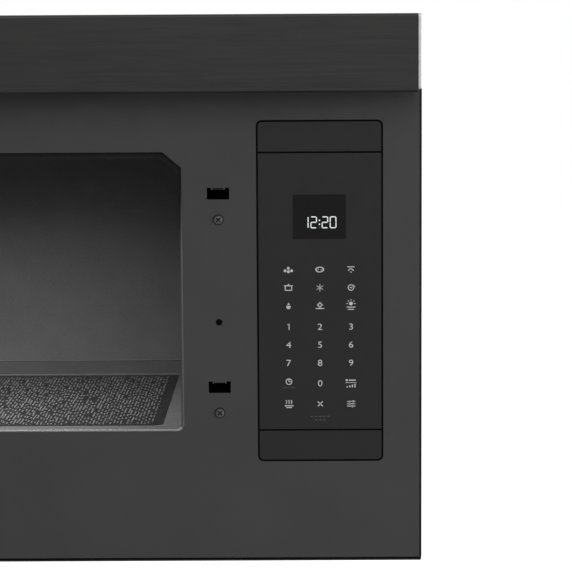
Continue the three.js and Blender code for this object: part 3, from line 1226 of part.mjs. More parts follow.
// The corners of the door that the hinge arms sweep through.
function hingeRoom() {
  const x = [doorX[0] - CUT_OVER, hingeX + HINGE_ARM + HINGE_INSET / 2];
  const y = [doorFront + SHEET + CLEARANCE, doorBack + CUT_OVER];
  const low = [doorZ[0] + HINGE_END - RUNNING * 2, doorZ[0] + HINGE_END + HINGE_PLATE + RUNNING * 2];
  const high = [doorZ[1] - HINGE_END - HINGE_PLATE - RUNNING * 2, doorZ[1] - HINGE_END + RUNNING * 2];
  const pins = rod(HINGE_PIN + CLEARANCE, 'z', doorZ, [hingeX, hingeY], ROUND_SIDES / 2);
  return join(block(x, y, low), block(x, y, high), pins);
}

// The outside of the door: a skin with turned-in edges, the window pane and the touch strip.
function outerDoor() {
  const skinY = [doorFront, doorFront + SKIN_RETURN];
  const through = [doorFront - CUT_OVER, doorFront + SHEET + CUT_OVER];
  const skin = cut(
    prism(rounded(doorX, doorZ, SKIN_CORNER), 'y', skinY),
    block(inset(doorX, SHEET), [doorFront + SHEET, skinY[1] + CUT_OVER], inset(doorZ, SHEET)),
    prism(rounded(windowX, windowZ, WINDOW_CORNER), 'y', through),
    prism(rounded(keysX, keysZ, SKIN_CORNER), 'y', through),
    hingeRoom(),
  );
  piece(door, 'door_skin', skin, BLACK_STEEL);
  const paneY = [doorFront + CLEARANCE, doorFront + CLEARANCE + GLASS_THICKNESS];
  const pane = rounded(inset(windowX, CLEARANCE), inset(windowZ, CLEARANCE), WINDOW_CORNER);
  piece(door, 'door_glass', prism(pane, 'y', paneY), DARK_GLASS);
  const keys = rounded(inset(keysX, CLEARANCE), inset(keysZ, CLEARANCE), SKIN_CORNER);
  piece(door, 'touch_strip', prism(keys, 'y', paneY), DARK_GLASS);
}

// The ways of the two latch hooks through a layer of the door.
function latchWays(y, extra) {
  return slotHeights.map((height) => {
    const z = [height - SLOT_HEIGHT / 2 - CUT_OVER / 2, height + SLOT_HEIGHT / 2 + LATCH_TRAVEL];
    return block(around(latchX, HOOK_THICKNESS + BRACKET_WALL), y, grown(z, extra));
  });
}

// The moulded carrier: a tray open to the front, with a tunnel behind the window and ribs across.
function doorCarrier() {
  const x = inset(doorX, SHEET + CLEARANCE);
  const z = inset(doorZ, SHEET + CLEARANCE);
  const y = [doorFront + SHEET + CLEARANCE, carrierBack];
  const tray = cut(
    block(x, y, z),
    block(inset(x, TUNNEL_WALL), [y[0] - CUT_OVER, y[1] - TUNNEL_WALL], inset(z, TUNNEL_WALL)),
  );
  const tunnelX = grown(windowX, TUNNEL_WALL);
  const tunnelZ = grown(windowZ, TUNNEL_WALL);
  const tunnelY = [doorFront + GLASS_THICKNESS + CLEARANCE * 2, y[1]];
  const tunnel = prism(rounded(tunnelX, tunnelZ, WINDOW_CORNER), 'y', tunnelY);
  const keyBacking = block(grown(keysX, TUNNEL_WALL), tunnelY, around(middle(keysZ), KEYS_WIDTH));
  const window = block(tunnelX, grown(tunnelY, GLASS_THICKNESS * 2), windowZ);
  const ribs = RIB_SHARES.map((share) => {
    const ribX = around(windowX[0] + share * (windowX[1] - windowX[0]), TUNNEL_WALL);
    return block(ribX, y, inset(z, TUNNEL_WALL / 2)).subtract(window);
  });
  const postX = around(middle(handleX), POST_WIDTH);
  const posts = postHeights.map((height) => block(postX, y, around(height, POST_HEIGHT)));
  const bushHeight = HINGE_END + HINGE_PLATE + HINGE_PIN_LENGTH + TUNNEL_WALL;
  const bushes = [
    block(bushX, bushY, [z[0], doorZ[0] + bushHeight]),
    block(bushX, bushY, [doorZ[1] - bushHeight, z[1]]),
  ];
  const carrier = cut(
    join(tray, tunnel, keyBacking, ...ribs, ...posts, ...bushes),
    prism(rounded(windowX, windowZ, WINDOW_CORNER), 'y', grown(tunnelY, CUT_OVER)),
    hingeRoom(),
    ...latchWays([latchBarY[1] - CUT_OVER, y[1] + CUT_OVER], CUT_OVER),
  );
  piece(door, 'door_carrier', carrier, BLACK_PLASTIC);
}

// Inside of the door: the choke, a channel with a comb of slots round the sheet that is perforated for the
// window, then its black cover and the inner glass.
function doorChoke() {
  const screenY = [carrierBack + CLEARANCE, carrierBack + CLEARANCE + SCREEN_THICKNESS];
  const screen = prism(rounded(chokeX, chokeZ, SKIN_CORNER), 'y', screenY);
  const chokeY = [screenY[1], screenY[1] + CHOKE_DEPTH - COVER_THICKNESS];
  const holeX = inset(chokeX, CHOKE_WIDTH);
  const holeZ = inset(chokeZ, CHOKE_WIDTH);
  let choke = cut(
    prism(rounded(chokeX, chokeZ, SKIN_CORNER), 'y', chokeY),
    prism(rounded(holeX, holeZ, SKIN_CORNER), 'y', grown(chokeY, CUT_OVER)),
    cut(
      block(inset(chokeX, SHEET), [chokeY[0], chokeY[1] - SHEET], inset(chokeZ, SHEET)),
      block(grown(holeX, SHEET), grown(chokeY, CUT_OVER), grown(holeZ, SHEET)),
    ),
  );
  const pitch = (chokeX[1] - chokeX[0]) / CHOKE_SLOTS;
  const slotY = [chokeY[1] - SHEET - CUT_OVER, chokeY[1] + CUT_OVER];
  const rows = [[chokeZ[0], holeZ[0]], [holeZ[1], chokeZ[1]]];
  for (let slot = 0; slot < CHOKE_SLOTS; slot += 1) {
    const x = around(chokeX[0] + (slot + 0.5) * pitch, SHEET * 2);
    for (const z of rows) choke = choke.subtract(block(x, slotY, inset(z, SHEET * 2)));
  }
  piece(door, 'door_choke', join(choke, screen), GALVANISED);
  const coverY = [chokeY[1] + CLEARANCE, chokeY[1] + CLEARANCE + COVER_THICKNESS];
  const cover = cut(
    prism(rounded(chokeX, chokeZ, SKIN_CORNER), 'y', coverY),
    prism(rounded(holeX, holeZ, SKIN_CORNER), 'y', grown(coverY, CUT_OVER)),
  );
  piece(door, 'choke_cover', cover, BLACK_PLASTIC);
  const glassY = [screenY[1] + CLEARANCE, screenY[1] + CLEARANCE + GLASS_THICKNESS];
  const glass = rounded(inset(holeX, CLEARANCE), inset(holeZ, CLEARANCE), SKIN_CORNER);
  piece(door, 'inner_glass', prism(glass, 'y', glassY), CLEAR_GLASS);
}

// The painted inner panel, a tray round the choke.
function doorInnerPanel() {
  const x = inset(doorX, SHEET + CLEARANCE);
  const z = inset(doorZ, SHEET + CLEARANCE);
  const y = [carrierBack + CLEARANCE, doorBack];
  const plan = path([
    [x[0], y[0]],
    [x[1], y[0]],
    [x[1], y[1]],
    [x[0] + HINGE_EDGE, y[1]],
    [x[0], y[1] - HINGE_EDGE],
  ]);
  const hollowX = [x[0] + LINER_PANEL + HINGE_EDGE / 2, x[1] - LINER_PANEL];
  const window = rounded(grown(chokeX, CLEARANCE), grown(chokeZ, CLEARANCE), SKIN_CORNER);
  const panel = cut(
    prism(plan, 'z', z),
    block(hollowX, [y[0] - CUT_OVER, y[1] - LINER_PANEL], inset(z, LINER_PANEL)),
    prism(window, 'y', grown(y, CUT_OVER)),
    hingeRoom(),
    ...latchWays(grown(y, CUT_OVER), 0),
  );
  piece(door, 'door_inner_panel', panel, FRAME_PAINT);
}

// One sprung bar carries both hooks; it rises as they ride over the ledges of the bracket.
function latchBar() {
  const barZ = [slotHeights[0] - LATCH_BAR_WIDTH, slotHeights[1] + LATCH_BAR_WIDTH];
  let bar = block(around(latchX, LATCH_BAR_WIDTH), latchBarY, barZ);
  for (const height of slotHeights) {
    const top = height - SLOT_HEIGHT / 2 + HOOK_PASS + HOOK_BARB + HOOK_ARM;
    const tip = behind(HOOK_LENGTH);
    const hook = path([
      [latchBarY[0], top],
      [latchBarY[0], top - HOOK_ARM],
      [tip - HOOK_BARB * 3, top - HOOK_ARM],
      [tip - HOOK_BARB * 3, top - HOOK_ARM - HOOK_BARB],
      [tip - HOOK_BARB * 1.5, top - HOOK_ARM - HOOK_BARB],
      [tip, top - HOOK_ARM / 2],
      [tip, top - HOOK_ARM / 4],
      [tip - HOOK_ARM / 4, top],
    ]);
    bar = bar.add(prism(hook, 'x', around(latchX, HOOK_THICKNESS)));
  }
  piece(door, 'latch_bar', bar, WHITE_PLASTIC);
}

// A flat bar with a post near each end.
function doorHandle() {
  const barY = [doorFront - HANDLE_GAP - HANDLE_DEPTH, doorFront - HANDLE_GAP];
  const bar = prism(rounded(handleX, barY, HANDLE_CORNER), 'z', handleZ);
  const postX = around(middle(handleX), POST_WIDTH);
  const posts = postHeights.map((height) => {
    const outline = rounded(postX, around(height, POST_HEIGHT), POST_WIDTH / 4);
    return prism(outline, 'y', [middle(barY), doorFront - CLEARANCE]);
  });
  piece(door, 'door_handle', join(bar, ...posts), BLACK_STEEL);
}

outerDoor();
doorCarrier();
doorChoke();
doorInnerPanel();
latchBar();
doorHandle();

// ---------------------------------------------------------------- assembly

const hung = new THREE.Group();
hung.position.set(hingeX, hingeY, 0);
hung.rotation.z = -THREE.MathUtils.degToRad(DOOR_OPEN_DEGREES);
door.position.set(-hingeX, -hingeY, 0);
hung.add(door);

const microwave = new THREE.Group();
microwave.add(cabinet, hung);
microwave.position.z = -WALL_POINT_HEIGHT;

const model = new THREE.Group();
model.add(microwave);

export default model;
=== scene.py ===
# %% [markdown]
# # An over the range microwave with its door open
# This lesson dresses a microwave oven that hangs on a kitchen wall above the hob. The solids come
# from CAD and are already in their places, so Blender's work is the last millimetre: eased edges,
# screw heads, the clock and keypad print, and a finish for every surface. Nothing made here may
# outgrow it.

# %% Load the CAD solids
import json
from math import cos, pi, radians, sin
import bpy
from mathutils import Matrix, Vector

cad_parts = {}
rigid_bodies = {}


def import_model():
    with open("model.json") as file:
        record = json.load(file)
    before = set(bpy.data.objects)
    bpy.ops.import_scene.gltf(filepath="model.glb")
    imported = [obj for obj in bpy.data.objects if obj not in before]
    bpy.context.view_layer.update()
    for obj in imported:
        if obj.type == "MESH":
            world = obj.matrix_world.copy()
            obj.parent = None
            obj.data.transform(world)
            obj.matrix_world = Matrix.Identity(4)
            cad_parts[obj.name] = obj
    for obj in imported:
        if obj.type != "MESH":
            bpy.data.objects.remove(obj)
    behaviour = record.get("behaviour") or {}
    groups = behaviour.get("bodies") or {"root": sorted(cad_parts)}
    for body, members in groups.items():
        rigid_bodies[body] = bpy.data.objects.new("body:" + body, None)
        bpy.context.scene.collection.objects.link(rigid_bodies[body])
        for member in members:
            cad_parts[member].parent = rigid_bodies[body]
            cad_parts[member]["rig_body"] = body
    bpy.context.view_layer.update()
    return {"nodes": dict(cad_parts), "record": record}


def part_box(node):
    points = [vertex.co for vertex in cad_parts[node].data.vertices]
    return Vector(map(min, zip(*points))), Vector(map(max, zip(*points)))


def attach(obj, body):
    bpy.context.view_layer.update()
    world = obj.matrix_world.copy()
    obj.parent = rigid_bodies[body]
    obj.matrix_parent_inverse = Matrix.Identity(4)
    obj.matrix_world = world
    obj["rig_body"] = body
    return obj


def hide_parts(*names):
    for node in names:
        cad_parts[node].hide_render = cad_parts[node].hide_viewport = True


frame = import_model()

MM = 0.001  # the scene is in metres and the pieces below are written in millimetres
solids = frame["nodes"]

# %% [markdown]
# ## The camera
# The photograph was taken from a little above the top edge, with a long lens and hardly any perspective.
# Fitting the measured corners of the frame and keypad gave the lens and the eye, and the matrix below
# turns the camera 6.6 degrees down and 0.3 degrees sideways, with a roll of 0.3 degrees.

# %% Camera
lens = bpy.data.cameras.new("product_lens")
lens.lens, lens.sensor_width = 147.17, 36.0
lens.clip_end = 50
camera = bpy.data.objects.new("product_camera", lens)
bpy.context.scene.collection.objects.link(camera)
camera.matrix_world = Matrix((
    (0.999972, 0.005125, 0.005490, 0.2834),
    (0.004865, 0.114895, -0.993366, -2.2334),
    (-0.005721, 0.993364, 0.114867, 0.2316),
    (0, 0, 0, 1),
))
bpy.context.scene.camera = camera
bpy.context.scene.view_settings.view_transform = "Standard"
print("camera at", tuple(camera.location))

# %% [markdown]
# ## The studio
# A black appliance is lit by what it mirrors, so the room is one even white sky and a pale floor.
# The floor lies as far below as a hob would. Light Path shows camera, mirror and glass rays a plain white,
# while the light that really falls on the oven stays soft and a little stronger from above.
# One large panel above the front lays the soft shadow of the vent strip on the frame, and a small lamp
# under the ceiling of the cavity is the oven's own light.

# %% Sky, floor and lamps
WHITE = (1, 1, 1, 1)
SKY, GLOW = 0.19, 0.91  # how strongly the sky lights the oven, and how bright the floor looks by itself
KEY, SIDE, TOP, REAR, OVEN = 38, 38, 22, 30, 0.72  # the lamps' watts
FLOOR_HEIGHT, FLOOR_SIZE = -0.62, 60  # in metres


def wire(tree, kind, inputs=None, **settings):
    """Adds a shader node, sets its options, and links or fills its inputs."""
    made = tree.nodes.new("ShaderNode" + kind)
    for option, value in settings.items():
        setattr(made, option, value)
    for socket, value in (inputs or {}).items():
        if isinstance(value, bpy.types.NodeSocket):
            tree.links.new(value, made.inputs[socket])
        else:
            made.inputs[socket].default_value = value
    return made


def either(tree, factor, first, second):
    """The first shader where the factor is nought, and the second where it is one."""
    return wire(tree, "MixShader", {0: factor, 1: first.outputs[0], 2: second.outputs[0]})


def seen_ray(tree):
    """One where a camera, mirror or glass ray looks at the surface, and nought for the light's own rays."""
    path = wire(tree, "LightPath").outputs
    pair = wire(tree, "Math", {0: path["Is Camera Ray"], 1: path["Is Glossy Ray"]}, operation="MAXIMUM")
    seen = wire(tree, "Math", {0: pair.outputs[0], 1: path["Is Transmission Ray"]}, operation="MAXIMUM")
    return seen.outputs[0]


world = bpy.data.worlds.new("white_studio")
bpy.context.scene.world = world
world.use_nodes = True
sky = world.node_tree
sky.nodes.clear()
light = wire(sky, "Background", {"Color": WHITE, "Strength": SKY})
plain = wire(sky, "Background", {"Color": WHITE, "Strength": 1.0})
wire(sky, "OutputWorld", {0: either(sky, seen_ray(sky), light, plain).outputs[0]})

bpy.ops.object.select_all(action="DESELECT")
bpy.ops.mesh.primitive_plane_add(size=FLOOR_SIZE, location=(0, 0, FLOOR_HEIGHT))
bpy.ops.object.transform_apply()
ground = bpy.context.object
ground.name = "studio_floor"
paper = bpy.data.materials.new("pale_paper")
paper.use_nodes = True
tree = paper.node_tree
tree.nodes.clear()
matt = wire(tree, "BsdfDiffuse", {"Color": (0.55, 0.55, 0.55, 1)})
glow = wire(tree, "Emission", {"Color": WHITE, "Strength": GLOW})
shown = wire(tree, "AddShader", {0: matt.outputs[0], 1: glow.outputs[0]})
giving = wire(tree, "BsdfDiffuse", {"Color": (0.30, 0.30, 0.30, 1)})
above = either(tree, seen_ray(tree), giving, shown)
clear = wire(tree, "BsdfTransparent")
below = wire(tree, "NewGeometry").outputs["Backfacing"]
wire(tree, "OutputMaterial", {0: either(tree, below, above, clear).outputs[0]})
ground.data.materials.append(paper)


def panel_lamp(name, place, target, size, watts):
    """A soft box, size wide and high, that looks at the target."""
    lamp = bpy.data.lights.new(name, "AREA")
    lamp.shape, lamp.size, lamp.size_y, lamp.energy = "RECTANGLE", *size, watts
    holder = bpy.data.objects.new(name, lamp)
    bpy.context.scene.collection.objects.link(holder)
    holder.location = place
    holder.rotation_euler = (Vector(target) - Vector(place)).to_track_quat("-Z", "Y").to_euler()
    holder.visible_camera = False
    return lamp


panel_lamp("front_softbox", (0.45, -3.3, 1.32), (0.1, -0.4, 0), (2.6, 1.8), KEY)
panel_lamp("right_softbox", (2.7, -1.45, 0.1), (0.15, -0.4, 0), (1.2, 1.6), SIDE)
panel_lamp("top_softbox", (0.2, 0.2, 3.0), (0, -0.2, 0), (2.4, 2.4), TOP)
panel_lamp("rear_softbox", (-2.6, 2.2, 1.0), (-0.2, -0.3, 0), (2.4, 1.8), REAR)
inner = panel_lamp("oven_light", (-0.03, -0.345, 0.118), (-0.03, -0.34, -0.1), (0.30, 0.06), OVEN)
inner.spread = radians(150)  # its shade keeps the light off the ceiling beside it
print("one sky, one floor, five lamps")

# %% [markdown]
# ## Finishes: the helpers
# Each finish is a small node tree on the solid's own coordinates, so grain and fleck keep their real size
# in millimetres wherever they lie. Colour, roughness and relief each get their own noise, because a real
# surface never changes all three together.

# %% Helpers for the node trees
finishes = {}  # every finish under its name


def finish(name, metallic=0.0, specular=0.5, **more):
    """A new material's tree and shader, with what is even all over set on the shader's own sockets."""
    finishes[name] = material = bpy.data.materials.new(name)
    material.use_nodes = True
    shader = material.node_tree.nodes["Principled BSDF"]
    shader.inputs["Metallic"].default_value = metallic
    shader.inputs["Specular IOR Level"].default_value = specular
    for socket, value in more.items():
        shader.inputs[socket.replace("_", " ")].default_value = value
    return material.node_tree, shader


def spot(tree):
    """Where a point lies on the solid's own coordinates, in metres."""
    return wire(tree, "TexCoord").outputs["Object"]


def spot_axes(tree):
    """The three numbers of that place."""
    return wire(tree, "SeparateXYZ", {0: spot(tree)}).outputs


def grain(tree, size, stretch=(1, 1, 1), detail=2.0, seed=0.0):
    """Noise whose features are about size millimetres wide, stretched along an axis by its factor."""
    scale = tuple(1 / (size * MM * s) for s in stretch)
    moved = (seed, seed * 0.7, seed * 1.3)
    place = wire(tree, "Mapping", {"Vector": spot(tree), "Scale": scale, "Location": moved}).outputs[0]
    return wire(tree, "TexNoise", {"Vector": place, "Scale": 1.0, "Detail": detail}).outputs[0]


def levels(tree, value, low, high, start=0.3, end=0.7):
    """Spreads a noise, which keeps near its middle, over the range low to high."""
    inputs = {"Value": value, "From Min": start, "From Max": end, "To Min": low, "To Max": high}
    return wire(tree, "MapRange", inputs).outputs[0]


def even(colour, change):
    """The colour made darker and brighter by a share of itself."""
    return tuple(c * (1 - change) for c in colour), tuple(c * (1 + change) for c in colour)


def tint(tree, value, colour, change, start=0.3, end=0.7):
    """The colour, made darker and brighter by a share of itself as the noise goes from start to end."""
    ramp = wire(tree, "ValToRGB", {0: value})
    for stop, place, tone in zip(ramp.color_ramp.elements, (start, end), even(colour, change)):
        stop.position, stop.color = place, (*tone, 1)
    return ramp.outputs[0]


def mixed(tree, factor, first, second, how="MIX"):
    """Two colours mixed by a factor."""
    mix = wire(tree, "Mix", {0: factor, 6: first, 7: second}, data_type="RGBA", blend_type=how)
    return mix.outputs[2]


def times(tree, colour, factor):
    """The colour made brighter or darker by a factor."""
    grey = wire(tree, "CombineColor", {n: factor for n in range(3)}).outputs[0]
    return mixed(tree, 1.0, colour, grey, "MULTIPLY")


def surface(tree, shader, colour, rough, height=None, depth=0.0):
    """Links colour and roughness, and raises the surface by depth millimetres where a height is one."""
    tree.links.new(colour, shader.inputs["Base Color"])
    tree.links.new(rough, shader.inputs["Roughness"])
    if height:
        bump = wire(tree, "Bump", {"Height": height, "Distance": depth * MM, "Strength": 1.0})
        tree.links.new(bump.outputs[0], shader.inputs["Normal"])


print("helpers ready")

# %% [markdown]
# ## Paint and moulded plastic
# Sheet parts are powder coated: a matt skin with a faint orange peel. Moulded parts copy the spark-eroded
# grain of their tool. Both are one recipe with other sizes: a slow drift of tone, a finer change of
# roughness, and a relief as deep as the real one.

# %% Coated and moulded finishes
def coated(name, colour, rough, peel, depth, specular=0.3, change=0.06, drift=60, **more):
    """A coat of paint or a moulded skin, with a peel or grain of the given size and depth in millimetres."""
    tree, shader = finish(name, specular=specular, **more)
    tone = tint(tree, grain(tree, drift, detail=4), colour, change)
    gloss = levels(tree, grain(tree, drift / 5, seed=3), rough - 0.05, rough + 0.05)
    surface(tree, shader, tone, gloss, grain(tree, peel, detail=1, seed=7), depth)


coated("frame_paint", (0.0478, 0.0479, 0.0481), 0.50, 1.6, 0.010, specular=0.18)
coated("panel_black", (0.0168, 0.0169, 0.0171), 0.34, 3.0, 0.003, specular=0.14, change=0.04)
coated("black_plastic", (0.012, 0.012, 0.013), 0.58, 0.5, 0.03, change=0.12)
coated("white_plastic", (0.60, 0.60, 0.58), 0.42, 0.7, 0.02, change=0.03)
coated("charcoal", (0.016, 0.016, 0.016), 0.80, 2.2, 1.2, change=0.45, drift=3)
print(sorted(finishes))

# %% [markdown]
# ## Brushed and zinc-coated steel
# The strip and the door are dark stainless steel, brushed along their length: the streaks run for
# centimetres one way and only a fraction of a millimetre across. The grain goes by the height alone, so that
# it is level on the front and on the open door alike. Zinc on the hidden sheets freezes in patches.

# %% Metal finishes
def brushed(name, colour, rough, change=0.16, across=0.35, long=90):
    """Metal with level streaks, which change the tone, the gloss and the surface together."""
    tree, shader = finish(name, metallic=1.0, Anisotropic=0.45)
    streaks = grain(tree, across, (long, long, 1), detail=3)
    broad = grain(tree, across * 4, (long / 2, long / 2, 1), detail=3, seed=5)
    both = wire(tree, "Math", {0: streaks, 1: broad}, operation="ADD").outputs[0]
    tone = tint(tree, levels(tree, both, 0, 1, 0.7, 1.3), colour, change, 0, 1)
    surface(tree, shader, tone, levels(tree, streaks, rough - 0.06, rough + 0.08), streaks, 0.004)


def zinc(name, colour, rough, patch=9):
    """Galvanised sheet: frozen patches of slightly different tone, and fine scuffs."""
    tree, shader = finish(name, metallic=0.85)
    cells = wire(tree, "TexVoronoi", {"Vector": spot(tree), "Scale": 1 / (patch * MM), "Randomness": 1.0})
    tone = wire(tree, "SeparateColor", {0: cells.outputs["Color"]}).outputs[0]
    scuff = grain(tree, 0.8, (1, 1, 6), detail=4)
    gloss = levels(tree, scuff, rough - 0.08, rough + 0.12)
    surface(tree, shader, tint(tree, tone, colour, 0.13, 0, 1), gloss, scuff, 0.006)


brushed("black_stainless", (0.0254, 0.0255, 0.0253), 0.40, change=0.13)
brushed("bare_steel", (0.325, 0.325, 0.328), 0.34, change=0.10)
brushed("aluminium", (0.52, 0.53, 0.54), 0.38, change=0.08, across=0.6, long=12)
zinc("galvanised", (0.42, 0.43, 0.45), 0.42)
print(sorted(finishes))

# %% [markdown]
# ## Enamel and ceramic
# The cavity is sprayed with a dark enamel that carries a fine light fleck. Its floor is a black ceramic
# plate printed with rows of short dashes that run from front to back: a column number comes from X, and
# chance along Y, different in each column, breaks the row into dashes, some of which run on into the next.

# %% Cavity finishes
ENAMEL, FLECK = (0.102, 0.102, 0.1022), (0.155, 0.155, 0.155)
# A painted shade is a brightness at the foot, one at the top, and the two heights. The walls are painted
# lighter at the foot and darker at the top, and the jambs of the opening fade into the painted shade of the
# flange.
WALL_SHADE = (1.16, 0.72, -80 * MM, 110 * MM)
JAMB_SHADE = (0.88, 0.05, 48 * MM, 92 * MM)
DASH_PITCH = 2.8 * MM  # from one printed row to the next
DASH_CELL = 15 * MM  # the shortest dash and the gap before it
DASH_GAP, DASH_RUN_ON, DASH_MISSED = 0.45, 0.82, 0.07  # the gap's share, and where chance joins or skips
DASH_WIDTH, DASH_WANDER = (0.29, 0.71), 0.30  # the part of a row that a dash fills, and how far it strays
DASH_FIELD = (-292 * MM, 164.6 * MM, -372.5 * MM, -122 * MM)  # left, right, front and back


def enamelled(name, colour, fleck, height_shade=(1, 1, 0, 1)):
    """Dark enamel with a pale fleck about half a millimetre wide, and painted shade that darkens it upwards.
    """
    tree, shader = finish(name, specular=0.16)
    base = tint(tree, grain(tree, 25, detail=3), colour, 0.07)
    flecks = levels(tree, grain(tree, 0.55, detail=2, seed=2), 0, 1, 0.50, 0.75)
    # painted light and shade: the colour is made brighter at the foot and darker at the top, by height
    tone = times(tree, mixed(tree, flecks, base, (*fleck, 1)), levels(tree, spot_axes(tree)[2], *height_shade))
    gloss = levels(tree, grain(tree, 8, seed=4), 0.36, 0.48)
    surface(tree, shader, tone, gloss, grain(tree, 1.8, detail=2, seed=6), 0.02)


def math_of(tree, operation, first, second=0.0):
    """One step of arithmetic on a node socket."""
    return wire(tree, "Math", {0: first, 1: second}, operation=operation).outputs[0]


def between(tree, value, low, high):
    """One where the value lies between low and high."""
    above = math_of(tree, "GREATER_THAN", value, low)
    return math_of(tree, "MULTIPLY", above, math_of(tree, "LESS_THAN", value, high))


def chances(tree, column, cell):
    """Three random numbers for each cell of each column."""
    place = wire(tree, "CombineXYZ", {0: column, 1: cell}).outputs[0]
    noise = wire(tree, "TexWhiteNoise", {"Vector": place}).outputs["Color"]
    return wire(tree, "SeparateColor", {0: noise}).outputs


def dashed_ceramic(name, colour, ink):
    """Black ceramic with its printed field of dashes, whose ink is painted brighter towards the back, where
    less light falls and the dashes look thinner.
    """
    tree, shader = finish(name, specular=0.22)
    x, y = spot_axes(tree)[:2]
    across = math_of(tree, "DIVIDE", x, DASH_PITCH)
    column = math_of(tree, "FLOOR", across)
    shift = wire(tree, "TexWhiteNoise", {"W": column}, noise_dimensions="1D").outputs["Value"]
    shift = math_of(tree, "MULTIPLY", shift, 7.0)
    along = math_of(tree, "ADD", math_of(tree, "DIVIDE", y, DASH_CELL), shift)
    cell = math_of(tree, "FLOOR", along)
    run_on, kept, stray = chances(tree, column, cell)[:3]
    dash = math_of(tree, "GREATER_THAN", math_of(tree, "SUBTRACT", along, cell), DASH_GAP)
    dash = math_of(tree, "MAXIMUM", math_of(tree, "GREATER_THAN", run_on, DASH_RUN_ON), dash)
    dash = math_of(tree, "MULTIPLY", dash, math_of(tree, "GREATER_THAN", kept, DASH_MISSED))
    stray = math_of(tree, "MULTIPLY", math_of(tree, "SUBTRACT", stray, 0.5), DASH_WANDER)
    inside = math_of(tree, "ADD", math_of(tree, "SUBTRACT", across, column), stray)
    left, right, front, back = DASH_FIELD
    for value, low, high in ((inside, *DASH_WIDTH), (x, left, right), (y, front, back)):
        dash = math_of(tree, "MULTIPLY", dash, between(tree, value, low, high))
    base = tint(tree, grain(tree, 30, detail=3), colour, 0.06)
    ink_tone = tint(tree, grain(tree, 5, detail=1, seed=9), ink, 0.3)
    # painted light: the ink grows brighter towards the back
    tone = mixed(tree, dash, base, times(tree, ink_tone, levels(tree, y, 1.0, 1.7, front, back)))
    surface(tree, shader, tone, levels(tree, grain(tree, 12, seed=4), 0.30, 0.42), dash, 0.02)


enamelled("enamel", ENAMEL, FLECK, WALL_SHADE)
enamelled("jamb_enamel_painted_shade", ENAMEL, FLECK, JAMB_SHADE)
enamelled("rim_enamel", (0.135, 0.135, 0.135), (0.19, 0.19, 0.19))
enamelled("step_enamel", (0.090, 0.090, 0.091), (0.13, 0.13, 0.13))
dashed_ceramic("floor_ceramic", (0.0220, 0.0221, 0.0222), (0.160, 0.160, 0.160))
print("cavity finishes ready")

# %% [markdown]
# ## Glass
# The door's outer pane is nearly black with a printed border, and the pane inside it is clear.
# Fingers leave a film on glass, which shows only in its gloss, so the smudges change the roughness alone.
# The lamp lens is moulded with fine prisms that spread the light.

# %% Glass finishes
def ribs(tree, pitch, distortion=0.0, direction="X"):
    """Waves at the given pitch in millimetres."""
    inputs = {"Vector": spot(tree), "Scale": pi / 10 / (pitch * MM), "Distortion": distortion}
    return wire(tree, "TexWave", inputs, bands_direction=direction).outputs["Fac"]


def pane(name, colour, rough, specular=0.5, transmission=0.0, ior=1.5, prisms=0.0):
    """Glass with smudges that dull its gloss, and with prisms of the given pitch in millimetres if any."""
    tree, shader = finish(name, specular=specular, Transmission_Weight=transmission, IOR=ior)
    tone = tint(tree, grain(tree, 80, seed=8), colour, 0.08)
    gloss = levels(tree, grain(tree, 35, detail=5, seed=1), rough, rough + 0.10, 0.35, 0.7)
    surface(tree, shader, tone, gloss, ribs(tree, prisms) if prisms else None, 0.25)


pane("dark_glass", (0.010, 0.0105, 0.011), 0.05)
pane("display_glass", (0.0095, 0.0095, 0.0098), 0.16, specular=0.08)
pane("clear_glass", (0.86, 0.89, 0.89), 0.02, transmission=0.95, ior=1.22)
pane("lens_glass", (0.88, 0.90, 0.90), 0.12, transmission=0.85, prisms=2.5)
print("glass finishes ready")

# %% [markdown]
# ## Inner parts
# Some solids are seen only with a cover off. They still get what they are made of: a green board with its
# tracks and pads, varnished copper wound turn by turn, and a perforated screen in the door that keeps
# the microwaves in while light passes.

# %% Board, winding and screen
def board(name):
    """A circuit board: tracks on a 2.5 mm raster under green lacquer, with tinned pads."""
    tree, shader = finish(name)
    upright = wire(tree, "Mapping", {"Vector": spot(tree), "Rotation": (radians(90), 0, 0)}).outputs[0]
    tracks = wire(tree, "TexBrick", {
        "Vector": upright, "Scale": 200.0, "Mortar Size": 0.03, "Brick Width": 1.2, "Row Height": 0.5,
        "Color1": (0.010, 0.060, 0.024, 1), "Color2": (0.014, 0.085, 0.032, 1),
        "Mortar": (0.04, 0.19, 0.07, 1),
    })
    cells = wire(tree, "TexVoronoi", {"Vector": spot(tree), "Scale": 130.0, "Randomness": 0.6})
    pad = math_of(tree, "LESS_THAN", cells.outputs["Distance"], 0.16)
    tone = mixed(tree, pad, tracks.outputs[0], (0.5, 0.5, 0.48, 1))
    surface(tree, shader, tone, levels(tree, grain(tree, 4), 0.25, 0.45), pad, 0.25)


def wound(name, colour, wire_size=1.1):
    """Varnished wire, turn beside turn."""
    tree, shader = finish(name, metallic=0.7, Coat_Weight=0.5)
    turns = ribs(tree, wire_size, 0.4, "Z")
    tone = tint(tree, turns, colour, 0.45, 0, 1)
    surface(tree, shader, tone, levels(tree, grain(tree, 3), 0.28, 0.42), turns, 0.4)


